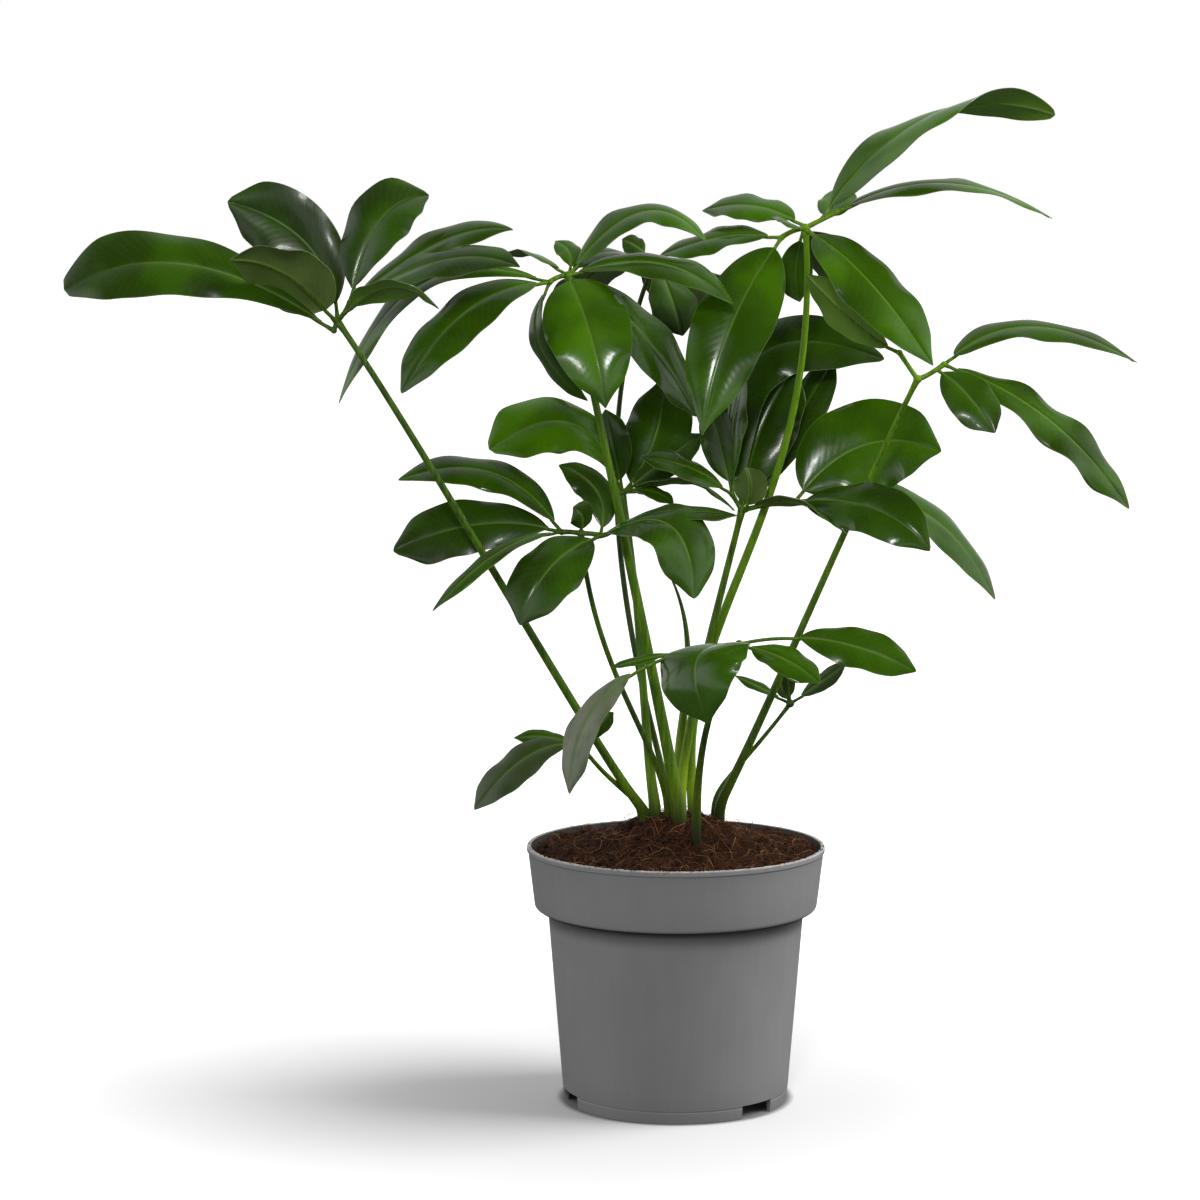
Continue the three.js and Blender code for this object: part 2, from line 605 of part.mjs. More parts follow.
// Height of the soil, with its mound round the crown of the plant and a lumpy grain.
function soilHeight(x, y) {
  const radius = Math.hypot(x, y);
  const mound = MOUND.height * Math.exp(-((radius / MOUND.spread) ** 2));
  const lumps = Math.sin(0.21 * x + 1.3) * Math.cos(0.19 * y) + 0.6 * Math.sin(0.37 * x - 0.33 * y);
  return SOIL_EDGE_Z + mound + SOIL_LUMP * lumps;
}

function soilSolid() {
  const wall = WALL + GAP;
  const channelTop = FOOT_RING_HEIGHT + WALL + GAP;
  const rimSpread = ((RIM_RADIUS - COLLAR_BOTTOM.radius) * (SOIL_EDGE_Z - COLLAR_BOTTOM.z)) /
    (POT_HEIGHT - COLLAR_BOTTOM.z);
  const side = [
    [PAD_RADIUS - WALL - 2 * GAP, WALL + GAP],
    [PAD_RADIUS - WALL / 2 - GAP, channelTop],
    [FOOT_RADIUS - wall, channelTop],
    [BODY_TOP.radius - wall, BODY_TOP.z + WALL],
    [COLLAR_BOTTOM.radius - wall - GAP, COLLAR_BOTTOM.z + WALL + 2 * GAP],
    [COLLAR_BOTTOM.radius - wall + rimSpread - 4 * GAP, SOIL_EDGE_Z - SOIL_EDGE_DROP],
  ];
  const vertices = [];
  const ringOf = (radius, height) => {
    const ring = [];
    for (let j = 0; j < SOIL_SEGMENTS; j++) {
      const angle = (2 * Math.PI * j) / SOIL_SEGMENTS;
      const [x, y] = [radius * Math.cos(angle), radius * Math.sin(angle)];
      ring.push(vertices.push(new THREE.Vector3(x, y, height(x, y))) - 1);
    }
    return ring;
  };
  const edgeRadius = side[side.length - 1][0];
  const rings = side.map(([radius, z]) => ringOf(radius, () => z));
  for (let i = 0; i < SOIL_RINGS; i++) {
    const share = (i + FIRST_RING_INSET) / SOIL_RINGS;
    rings.push(ringOf(edgeRadius * (1 - share), soilHeight));
  }
  const bottom = vertices.push(new THREE.Vector3(0, 0, side[0][1])) - 1;
  const top = vertices.push(new THREE.Vector3(0, 0, soilHeight(0, 0))) - 1;
  const triangles = [];
  for (let j = 0; j < SOIL_SEGMENTS; j++) {
    const k = (j + 1) % SOIL_SEGMENTS;
    triangles.push([bottom, rings[0][k], rings[0][j]]);
    for (let i = 0; i + 1 < rings.length; i++) {
      const [inner, outer] = [rings[i + 1], rings[i]];
      triangles.push([outer[j], outer[k], inner[k]], [outer[j], inner[k], inner[j]]);
    }
    triangles.push([rings[rings.length - 1][j], rings[rings.length - 1][k], top]);
  }
  let soil = solidOf(geometryOf(vertices, triangles));
  for (const frond of Object.values(FRONDS)) {
    const [x, y] = frond.petiole[0];
    const radius = (frond.radii[0] + GAP) / Math.cos(Math.PI / HOLE_SIDES);
    const depth = CROWN_Z - ROOT_END_Z + 2 * GAP;
    const hole = new THREE.CylinderGeometry(radius, radius, depth, HOLE_SIDES)
      .rotateX(Math.PI / 2)
      .translate(x, y, ROOT_END_Z - GAP + depth / 2);
    soil = soil.subtract(solidOf(hole));
  }
  return soil;
}

// ---------------------------------------------------------------- scene graph

function pieceMesh(name, solid, finish) {
  const mesh = new THREE.Mesh(geometryOfSolid(solid), new THREE.MeshStandardMaterial(finish));
  mesh.name = name;
  return mesh;
}

const plant = new THREE.Group();
plant.name = "potted_philodendron";
plant.add(pieceMesh("pot", potSolid(), FINISHES.pot));
plant.add(pieceMesh("soil", soilSolid(), FINISHES.soil));
for (const [name, frond] of Object.entries(FRONDS)) {
  plant.add(pieceMesh(name, frondSolid(frond), FINISHES[name] ?? FINISHES.leaf));
}

export default plant;
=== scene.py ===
"""Potted philodendron: the visual model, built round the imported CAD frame.

A grey nursery pot holds a mound of coir soil, and twelve fronds stand in it. Each is one petiole
with its short branches and stalks, and one set of thin glossy leaflets; the youngest is still rolled.
Sizes are written in millimetres in the frame's axes (+Z up, the front looks along -Y), and the meshes
are made in metres. The finishes read places in metres and colours as linear values.
"""

from __future__ import annotations

import logging
import math
import random
from dataclasses import dataclass, field
from enum import Enum
from functools import lru_cache
from itertools import combinations
from typing import Optional, Sequence

import bpy
import numpy as np
from mathutils import Matrix, Vector, noise

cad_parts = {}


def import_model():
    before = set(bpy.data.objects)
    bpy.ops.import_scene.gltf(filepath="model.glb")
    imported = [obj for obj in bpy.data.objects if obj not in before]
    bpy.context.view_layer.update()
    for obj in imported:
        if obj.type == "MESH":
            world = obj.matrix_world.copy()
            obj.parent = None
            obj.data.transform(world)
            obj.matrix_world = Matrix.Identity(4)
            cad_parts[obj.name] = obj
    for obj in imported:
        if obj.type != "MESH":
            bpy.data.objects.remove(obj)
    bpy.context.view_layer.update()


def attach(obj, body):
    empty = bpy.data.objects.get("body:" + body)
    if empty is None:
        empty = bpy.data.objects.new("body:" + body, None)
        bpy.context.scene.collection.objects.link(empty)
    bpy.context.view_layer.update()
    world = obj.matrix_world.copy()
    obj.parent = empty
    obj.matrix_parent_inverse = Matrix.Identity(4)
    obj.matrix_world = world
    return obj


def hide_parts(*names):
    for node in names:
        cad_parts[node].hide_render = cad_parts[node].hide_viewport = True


LOG = logging.getLogger("philodendron")
MM = 0.001
BODY = "root"

CROWN_Z = 188
ROOT_END_Z = 132
FRAME_STEPS = 96
STALK_HALF_WIDTH = 1.1
TIP_HALF_WIDTH = 0.45
DRIP_FROM = 0.82
DRIP_PINCH = 0.45
BEAD_RINGS = 9
BEAD_SIDES = 16
EDGE_COSINE = 0.4
STEM_FACE = (0.2, -1.0, 0.1)

Pair = tuple[float, float]
Triple = tuple[float, float, float]
Colour = tuple[float, float, float, float]


class Slot(Enum):
    """The record's material slots."""

    POT = "pot"
    SOIL = "soil"
    LEAF = "leaf"


# ------------------------------------------------------------------ shader tools


class Signal:
    """A shader socket that reads like a number: an expression on it adds Math nodes."""

    def __init__(self, bench: Bench, socket: bpy.types.NodeSocket) -> None:
        """Wraps a socket.

        Args:
            bench: the material's node bench.
            socket: the output socket that carries the value.
        """
        self.bench = bench
        self.socket = socket

    def _math(self, operation: str, *values: float | Signal) -> Signal:
        """Adds one Math node.

        Args:
            operation: Blender's name of the operation.
            values: its inputs in order, numbers or signals.

        Returns:
            The node's value.
        """
        return self.bench.add("ShaderNodeMath", {"operation": operation}, dict(enumerate(values)))

    def __add__(self, other: float | Signal) -> Signal:
        """self + other."""
        return self._math("ADD", self, other)

    __radd__ = __add__

    def __sub__(self, other: float | Signal) -> Signal:
        """self - other."""
        return self._math("SUBTRACT", self, other)

    def __rsub__(self, other: float) -> Signal:
        """other - self."""
        return self._math("SUBTRACT", other, self)

    def __mul__(self, other: float | Signal) -> Signal:
        """self * other."""
        return self._math("MULTIPLY", self, other)

    __rmul__ = __mul__

    def __truediv__(self, other: float | Signal) -> Signal:
        """self / other."""
        return self._math("DIVIDE", self, other)

    def __abs__(self) -> Signal:
        """The size of self."""
        return self._math("ABSOLUTE", self)

    def __mod__(self, other: float) -> Signal:
        """self modulo other, never negative."""
        return self._math("FLOORED_MODULO", self, other)

    def at_least(self, other: float | Signal) -> Signal:
        """The larger of self and other."""
        return self._math("MAXIMUM", self, other)

    def step(self, low: float, high: float) -> Signal:
        """A smooth step.

        Args:
            low: where it is 0.
            high: where it is 1. It may be below low, and the step then falls.

        Returns:
            The step, from 0 to 1.
        """
        rising = low < high
        settings = {"interpolation_type": "SMOOTHSTEP", "clamp": True}
        ends = (low, high) if rising else (high, low)
        inputs = {"Value": self, "From Min": ends[0], "From Max": ends[1]}
        stepped = self.bench.add("ShaderNodeMapRange", settings, inputs, "Result")
        return stepped if rising else 1.0 - stepped


class Bench:
    """The node tree of one material or of the surroundings."""

    def __init__(self, name: str, surroundings: bool = False) -> None:
        """Makes an empty node tree.

        Args:
            name: the name of the material or of the surroundings.
            surroundings: whether it is for the light all round instead of a surface.
        """
        kinds = bpy.data.worlds if surroundings else bpy.data.materials
        self.owner = kinds.new(name)
        self.owner.use_nodes = True
        self.tree = self.owner.node_tree
        self.tree.nodes.clear()

    def add(
        self,
        kind: str,
        settings: Optional[dict] = None,
        inputs: Optional[dict] = None,
        output: int | str = 0,
    ) -> Signal:
        """Adds any node.

        Args:
            kind: Blender's name of the node type.
            settings: its settings, set first.
            inputs: values or signals by the name or number of the socket.
            output: which output to return.

        Returns:
            That output.
        """
        node = self.tree.nodes.new(kind)
        for key, value in (settings or {}).items():
            setattr(node, key, value)
        for key, value in (inputs or {}).items():
            socket = node.inputs[key]
            if isinstance(value, Signal):
                self.tree.links.new(value.socket, socket)
            else:
                socket.default_value = value
        return Signal(self, node.outputs[output] if node.outputs else None)

    def attribute(self, name: str) -> Signal:
        """A value stored on the mesh's points."""
        return self.add("ShaderNodeAttribute", {"attribute_name": name}, None, "Fac")

    def place(self, stretch: Triple = (1.0, 1.0, 1.0)) -> Signal:
        """The place on the piece in metres, stretched along the axes."""
        at = self.add("ShaderNodeTexCoord", None, None, "Object")
        if stretch == (1.0, 1.0, 1.0):
            return at
        return self.add("ShaderNodeMapping", None, {"Vector": at, "Scale": stretch})

    def height(self) -> Signal:
        """The height above the floor in metres."""
        return self.add("ShaderNodeSeparateXYZ", None, {"Vector": self.place()}, "Z")

    def grain(
        self, scale: float, detail: float = 3.0, rough: float = 0.55, at: Optional[Signal] = None
    ) -> Signal:
        """A cloud of noise about 0.5.

        Args:
            scale: cycles to the metre.
            detail: how many finer layers it has.
            rough: how strong the finer layers are.
            at: the place to read, by default the place on the piece.

        Returns:
            The noise.
        """
        place = at or self.place()
        inputs = {"Vector": place, "Scale": scale, "Detail": detail, "Roughness": rough}
        return self.add("ShaderNodeTexNoise", None, inputs)

    def streaks(self, stretch: Triple, detail: float = 3.0, rough: float = 0.6) -> Signal:
        """Noise about 0.5 that is drawn out along the axes.

        Args:
            stretch: cycles to the metre along each axis.
            detail: how many finer layers it has.
            rough: how strong the finer layers are.

        Returns:
            The noise.
        """
        return self.grain(1.0, detail, rough, self.place(stretch))

    def blend(
        self, share: float | Signal, first: Colour | Signal, second: Colour | Signal
    ) -> Signal:
        """A mix of two colours.

        Args:
            share: how much of the second colour there is, from 0 to 1.
            first: the colour at 0.
            second: the colour at 1.

        Returns:
            The mixed colour.
        """
        settings = {"data_type": "RGBA", "blend_type": "MIX", "clamp_factor": True}
        return self.add("ShaderNodeMix", settings, {0: share, 6: first, 7: second}, 2)

    def layers(
        self, ground: Colour | Signal, *coats: tuple[float | Signal, Colour | Signal]
    ) -> Colour | Signal:
        """A colour with others laid over it in turn.

        Args:
            ground: the first colour.
            coats: the share and the colour of each further one, in the order they are laid on.

        Returns:
            The colour that shows.
        """
        for share, colour in coats:
            ground = self.blend(share, ground, colour)
        return ground

    def relief(self, height: Signal, strength: float, depth: float) -> Signal:
        """A bump.

        Args:
            height: the relief, from 0 to 1.
            strength: the share of it that shows.
            depth: the height that 1 stands for, in metres.

        Returns:
            The bumped normal.
        """
        inputs = {"Height": height, "Strength": strength, "Distance": depth}
        return self.add("ShaderNodeBump", None, inputs, "Normal")

    def surface(self, inputs: dict) -> bpy.types.Material:
        """Ends the material in one Principled shader.

        Args:
            inputs: values or signals by the name of the shader's socket.

        Returns:
            The finished material.
        """
        shader = self.add("ShaderNodeBsdfPrincipled", None, inputs, "BSDF")
        self.add("ShaderNodeOutputMaterial", None, {"Surface": shader})
        return self.owner


def rgb(red: float, green: float, blue: float) -> Colour:
    """A linear colour with full alpha."""
    return (red, green, blue, 1.0)


# ------------------------------------------------------------------ finishes


@dataclass
class LeafChart:
    """Where a point lies on its leaflet, and the patterns that both sides of a leaflet share.

    across is the distance from the midrib and edge that from the margin, in millimetres. cell is 0
    half-way between two side veins and 0.5 on a vein. worn is how far a painted grey sheen shows on
    leaflets of low freshness, and speckle a fine grain that also frays the veins.
    """

    bench: Bench
    speckle_scale: float
    vein_spacing: float = 5.2
    vein_slant: float = 1.05
    vein_bend: float = 0.012
    sheen_stretch: Triple = (70.0, 70.0, 25.0)

    def __post_init__(self) -> None:
        """Reads the values stored on the mesh and lays out the side veins and the film."""
        read = self.bench.attribute
        self.across = abs(read("rib_mm"))
        self.edge = read("edge_mm")
        self.fresh = read("fresh")
        self.speckle = self.bench.grain(self.speckle_scale, 3.0)
        slant = self.across * self.vein_slant
        swept = read("run_mm") - slant + self.across * self.across * self.vein_bend
        turn = (swept + self.speckle * 0.5) % self.vein_spacing / self.vein_spacing
        self.cell = abs(turn - 0.5)
        # patches of painted grey sheen on leaflets whose freshness is below zero
        sheen_patches = self.bench.streaks(self.sheen_stretch, 4.0).step(0.3, 0.62)
        self.grey_sheen = self.fresh.step(-0.1, -0.9) * (0.35 + sheen_patches * 0.6)


@dataclass(frozen=True)
class LeafTop:
    """The glossy upper side of a leaflet: dark green, with a pale midrib and a thin pale edge that is a
    painted highlight.

    Here and there it has rougher patches, where the skin between the side veins is quilted.
    """

    deep: Colour = rgb(0.018, 0.042, 0.002)
    green: Colour = rgb(0.030, 0.086, 0.001)
    bright: Colour = rgb(0.060, 0.170, 0.001)
    sheen_grey: Colour = rgb(0.150, 0.175, 0.105)
    rib: Colour = rgb(0.130, 0.230, 0.030)
    edge: Colour = rgb(0.160, 0.240, 0.060)
    cloud_scale: float = 22.0
    patch_scale: float = 45.0
    ripple_scale: float = 90.0
    speckle_scale: float = 420.0
    smoothest: float = 0.13
    coat: float = 0.15
    coat_rough: float = 0.08
    relief: Pair = (0.35, 0.0005)

    def material(self) -> bpy.types.Material:
        """Builds the material."""
        bench = Bench("leaf_upper_side")
        chart = LeafChart(bench, self.speckle_scale)
        across, edge, fresh = chart.across, chart.edge, chart.fresh
        reach = bench.attribute("reach")
        clouds = bench.grain(self.cloud_scale, 2.0).step(0.32, 0.7)
        patches = bench.grain(self.patch_scale, 3.0, 0.6).step(0.4, 0.65)
        vein = chart.cell.step(0.40, 0.5) * across.step(0.8, 3.0) * edge.step(0.6, 4.0)
        rib = across.step(0.95, 0.35) * reach.step(1.0, 0.55)
        near_rib = across.step(7.0, 0.5) * 0.22 * reach.step(0.9, 0.0)
        # the thin pale edge is a painted highlight along the margin
        margin = edge.step(0.42, 0.1)
        lively = fresh * 0.75 + clouds * 0.5 - 0.16
        base = bench.layers(
            self.deep,
            (lively.step(0.0, 0.55), self.green),
            (lively.step(0.5, 1.05), self.bright),
            # painted grey sheen
            (chart.grey_sheen, self.sheen_grey),
            (vein * 0.08, self.rib),
            (near_rib, self.bright),
            (rib * 0.5, self.rib),
            # painted highlight along the margin
            (margin * 0.5, self.edge),
        )
        quilt = chart.cell.step(0.0, 0.5) * across.step(0.8, 6.0) * edge.step(0.6, 5.0)
        quilt = quilt * (0.3 + patches)
        rough = self.smoothest + patches * 0.16 + fresh.step(0.6, 0.0) * 0.14
        rough = rough + chart.speckle * 0.05 + rib * 0.15 + margin * 0.2
        height = bench.grain(self.ripple_scale, 2.0) * 0.45 - quilt * 0.11 - vein * 0.06
        return bench.surface(
            {
                "Base Color": base,
                "Roughness": rough,
                "IOR": 1.45,
                "Specular IOR Level": 0.4,
                "Coat Weight": self.coat,
                "Coat Roughness": self.coat_rough,
                "Normal": bench.relief(height, *self.relief),
            }
        )


@dataclass(frozen=True)
class LeafUnder:
    """The duller, paler underside of a leaflet, with its side veins standing a little proud.
    On fresh leaflets its bright green is partly their own colour and partly painted light shining
    through.
    """

    deep: Colour = rgb(0.070, 0.120, 0.020)
    pale: Colour = rgb(0.150, 0.240, 0.045)
    bright: Colour = rgb(0.150, 0.320, 0.025)
    sheen_grey: Colour = rgb(0.190, 0.220, 0.130)
    rib: Colour = rgb(0.260, 0.390, 0.120)
    cloud_scale: float = 26.0
    speckle_scale: float = 500.0
    relief: Pair = (0.4, 0.0005)

    def material(self) -> bpy.types.Material:
        """Builds the material."""
        bench = Bench("leaf_underside")
        chart = LeafChart(bench, self.speckle_scale)
        across, edge, speckle = chart.across, chart.edge, chart.speckle
        clouds = bench.grain(self.cloud_scale, 2.0).step(0.3, 0.7)
        vein = chart.cell.step(0.38, 0.5) * across.step(0.8, 3.0) * edge.step(0.4, 4.0)
        base = bench.layers(
            self.deep,
            (clouds * 0.6 + speckle * 0.2, self.pale),
            # bright green on fresh leaflets: partly their own colour, partly painted light shining
            # through
            (chart.fresh.step(0.55, 1.0) * 0.8, self.bright),
            # painted grey sheen
            (chart.grey_sheen, self.sheen_grey),
            (vein * 0.07, self.rib),
            (across.step(1.7, 0.6) * 0.55, self.rib),
            (edge.step(0.5, 0.1) * 0.5, self.rib),
        )
        height = vein * 0.2 + speckle * 0.3
        return bench.surface(
            {
                "Base Color": base,
                "Roughness": 0.5 + speckle * 0.12 - vein * 0.06,
                "IOR": 1.42,
                "Normal": bench.relief(height, *self.relief),
            }
        )


@dataclass(frozen=True)
class StemSkin:
    """The smooth skin of petioles, branches and leaflet stalks, with fine streaks along it.

    darkening_top and darkening_foot are the heights where the darker feet begin and where they are
    full; the darkening is partly staining by the soil and partly painted shade.
    """

    dark: Colour = rgb(0.022, 0.048, 0.004)
    green: Colour = rgb(0.066, 0.150, 0.004)
    bright: Colour = rgb(0.150, 0.310, 0.005)
    sheath: Colour = rgb(0.360, 0.520, 0.020)
    stain_and_shade: Colour = rgb(0.009, 0.011, 0.003)
    darkening_top: float = 0.208
    darkening_foot: float = 0.172
    cloud_scale: float = 30.0
    streak_stretch: Triple = (520.0, 520.0, 14.0)
    fleck_stretch: Triple = (1500.0, 1500.0, 350.0)
    relief: Pair = (0.3, 0.0004)

    def material(self) -> bpy.types.Material:
        """Builds the material."""
        bench = Bench("petiole_skin")
        streaks = bench.streaks(self.streak_stretch)
        clouds = bench.grain(self.cloud_scale, 2.0)
        flecks = bench.streaks(self.fleck_stretch, 1.0, 0.5).step(0.66, 0.74)
        tone = bench.attribute("fresh") + (streaks - 0.5) * 1.5 + clouds * 0.2 - 0.1
        # darker feet near the soil: partly staining by the soil, partly painted shade
        stained = bench.height().step(self.darkening_top, self.darkening_foot) * (0.65 + clouds * 0.6)
        base = bench.layers(
            self.dark,
            (tone.step(0.0, 0.5), self.green),
            (tone.step(0.45, 1.0), self.bright),
            (bench.attribute("sheath") * (0.7 + streaks * 0.5), self.sheath),
            (flecks * 0.35, self.dark),
            # darker feet: partly staining by the soil, partly painted shade
            (stained, self.stain_and_shade),
        )
        height = streaks * 0.8 + flecks * 0.4
        return bench.surface(
            {
                "Base Color": base,
                "Roughness": 0.3 + streaks * 0.2,
                "IOR": 1.45,
                "Specular IOR Level": 0.35,
                "Normal": bench.relief(height, *self.relief),
            }
        )


@dataclass(frozen=True)
class PotPlastic:
    """Semi-matt moulded grey plastic with a faint grain, scuffed on its rim and soiled inside; the pale
    top of the rim is partly that scuffing and partly a painted highlight.

    rim_z is the top of the rim, collar_z the corner under the collar, from which a painted shade
    reaches corner_shade down, and foot_z the height that the darker foot fades out at.
    """

    grey: Colour = rgb(0.205, 0.206, 0.209)
    pale: Colour = rgb(0.260, 0.261, 0.264)
    dark: Colour = rgb(0.150, 0.151, 0.154)
    rubbed_and_highlight: Colour = rgb(0.480, 0.455, 0.425)
    dirt: Colour = rgb(0.022, 0.015, 0.008)
    shade: Colour = rgb(0.045, 0.044, 0.042)
    rim_z: float = 0.164
    collar_z: float = 0.121
    corner_shade: float = 0.011
    foot_z: float = 0.028
    cloud_scale: float = 14.0
    lip_patch_scale: float = 240.0
    crumb_scale: float = 330.0
    grain_scale: float = 1600.0
    flow_stretch: Triple = (160.0, 160.0, 16.0)
    scuff_stretch: Triple = (70.0, 70.0, 500.0)
    relief: Pair = (0.22, 0.0004)

    def material(self) -> bpy.types.Material:
        """Builds the material."""
        bench = Bench("pot_plastic")
        z = bench.height()
        inside = bench.attribute("inside")
        clouds = bench.grain(self.cloud_scale, 3.0)
        flow = bench.streaks(self.flow_stretch)
        grain = bench.grain(self.grain_scale, 2.0)
        lip_patches = bench.grain(self.lip_patch_scale, 3.0).step(0.35, 0.6)
        scuff = bench.streaks(self.scuff_stretch, 4.0, 0.7).step(0.63, 0.75)
        crumbs = bench.grain(self.crumb_scale, 4.0, 0.7).step(0.52, 0.62)
        # painted shade under the collar, reaching corner_shade down from collar_z
        corner = z.step(self.collar_z - self.corner_shade, self.collar_z)
        corner = corner * z.step(self.collar_z + 0.004, self.collar_z + 0.003)
        # pale top of the rim: partly scuffing, partly a painted highlight
        lip = z.step(self.rim_z - 0.0013, self.rim_z - 0.0002)
        smear = crumbs * z.step(self.rim_z - 0.0035, self.rim_z - 0.0005) * clouds.step(0.45, 0.6)
        base = bench.layers(
            self.grey,
            (clouds.step(0.3, 0.7) * 0.35 + flow.step(0.35, 0.7) * 0.18, self.pale),
            (z.step(self.foot_z, 0.0) * 0.35, self.dark),
            # lays on the painted shade under the collar
            (corner * 0.75, self.shade),
            (scuff * 0.05, self.rubbed_and_highlight),
            # pale top of the rim: partly scuffing, partly a painted highlight
            (lip * (0.45 + lip_patches * 0.5), self.rubbed_and_highlight),
            (inside * (0.85 + crumbs * 0.15), self.dirt),
            (smear * 0.55, self.dirt),
        )
        height = grain * 0.35 + flow * 0.25 + clouds * 0.4
        return bench.surface(
            {
                "Base Color": base,
                "Roughness": 0.42 + clouds * 0.1 + grain * 0.06 + inside * 0.2 + scuff * 0.05,
                "IOR": 1.47,
                "Normal": bench.relief(height, *self.relief),
            }
        )


@dataclass(frozen=True)
class DampSoil:
    """Dark, damp, crumbly coir and peat."""

    dark: Colour = rgb(0.008, 0.003, 0.001)
    brown: Colour = rgb(0.028, 0.009, 0.002)
    red: Colour = rgb(0.095, 0.028, 0.006)
    fleck: Colour = rgb(0.230, 0.110, 0.040)
    patch_scale: float = 28.0
    lump_scale: float = 95.0
    crumb_scale: float = 520.0
    fleck_scale: float = 900.0
    strand_stretch: Triple = (260.0, 900.0, 260.0)
    relief: Pair = (0.8, 0.0016)

    def material(self) -> bpy.types.Material:
        """Builds the material."""
        bench = Bench("damp_soil")
        lumps = bench.grain(self.lump_scale, 4.0, 0.65)
        crumbs = bench.grain(self.crumb_scale, 4.0, 0.7)
        strands = bench.streaks(self.strand_stretch).step(0.6, 0.7)
        flecks = bench.grain(self.fleck_scale, 1.0).step(0.69, 0.74)
        patches = bench.grain(self.patch_scale, 2.0).step(0.38, 0.62)
        base = bench.layers(
            self.dark,
            (lumps.step(0.35, 0.62) * (0.35 + patches * 0.8), self.brown),
            (crumbs.step(0.48, 0.7) * 0.7, self.red),
            (strands * 0.35, self.red),
            (flecks * 0.5, self.fleck),
        )
        height = crumbs * 0.7 + lumps * 0.6 + strands * 0.4
        return bench.surface(
            {
                "Base Color": base,
                "Roughness": 0.72 + crumbs * 0.25,
                "Specular IOR Level": 0.2,
                "Normal": bench.relief(height, *self.relief),
            }
        )


@dataclass(frozen=True)
class CoirFibre:
    """Reddish-brown to straw-coloured coir fibre."""

    dark: Colour = rgb(0.032, 0.011, 0.004)
    red: Colour = rgb(0.130, 0.043, 0.013)
    straw: Colour = rgb(0.330, 0.170, 0.065)
    cloud_scale: float = 260.0
    speckle_scale: float = 900.0
    grain_scale: float = 1400.0
    relief: Pair = (0.3, 0.0003)

    def material(self) -> bpy.types.Material:
        """Builds the material."""
        bench = Bench("coir_fibre")
        tone = bench.attribute("fresh") + bench.grain(self.cloud_scale, 3.0) * 0.3 - 0.15
        base = bench.layers(
            self.dark, (tone.step(0.0, 0.55), self.red), (tone.step(0.62, 1.0), self.straw)
        )
        return bench.surface(
            {
                "Base Color": base,
                "Roughness": 0.6 + bench.grain(self.speckle_scale, 2.0) * 0.2,
                "IOR": 1.45,
                "Normal": bench.relief(bench.grain(self.grain_scale, 2.0), *self.relief),
            }
        )


@dataclass(frozen=True)
class PaleFloor:
    """The plain pale floor of the studio, which glows a little away from the plant.

    The glow grows from glow_from to glow_to, and the painted shadow where the pot touches the floor, a
    dark line, fades out from contact_full to contact_end. These four are distances from the middle of
    the pot.
    """

    white: Colour = rgb(0.80, 0.80, 0.80)
    grey: Colour = rgb(0.78, 0.78, 0.78)
    black: Colour = rgb(0.0, 0.0, 0.0)
    glow: Colour = rgb(0.8, 0.8, 0.8)
    glow_from: float = 0.08
    glow_to: float = 0.7
    contact_end: float = 0.0775
    contact_full: float = 0.0715
    contact_share: float = 0.7

    def material(self) -> bpy.types.Material:
        """Builds the material."""
        bench = Bench("pale_floor")
        away = bench.add("ShaderNodeVectorMath", {"operation": "LENGTH"}, {0: bench.place()}, "Value")
        # painted shadow in a thin ring where the pot touches the floor
        contact = away.step(self.contact_end, self.contact_full) * self.contact_share
        return bench.surface(
            {
                "Base Color": bench.layers(
                    self.white, (bench.grain(3.0, 2.0) * 0.3, self.grey), (contact, self.black)
                ),
                "Roughness": 0.8,
                "Specular IOR Level": 0.1,
                "Emission Color": bench.blend(
                    away.step(self.glow_from, self.glow_to), self.black, self.glow
                ),
                "Emission Strength": 1.0,
            }
        )


# ------------------------------------------------------------------ curves


def bend_through(points: Sequence[Triple], count: int = 400) -> np.ndarray:
    """Places along the one smooth curve through all points: straight, quadratic, cubic and so on.

    Args:
        points: the points it passes through, evenly in its parameter.
        count: how many places to give.

    Returns:
        The places, one row each.
    """
    knots = np.arange(len(points))
    t = np.linspace(0.0, len(points) - 1.0, count)[:, None]
    line = np.zeros((count, 3))
    for knot, point in enumerate(points):
        others = knots[knots != knot]
        weight = np.prod((t - others) / (knot - others), axis=1, keepdims=True)
        line += weight * np.array(point, float)
    return line


def unit(v: np.ndarray) -> np.ndarray:
    """Vectors at length 1."""
    return v / np.linalg.norm(v, axis=-1, keepdims=True)


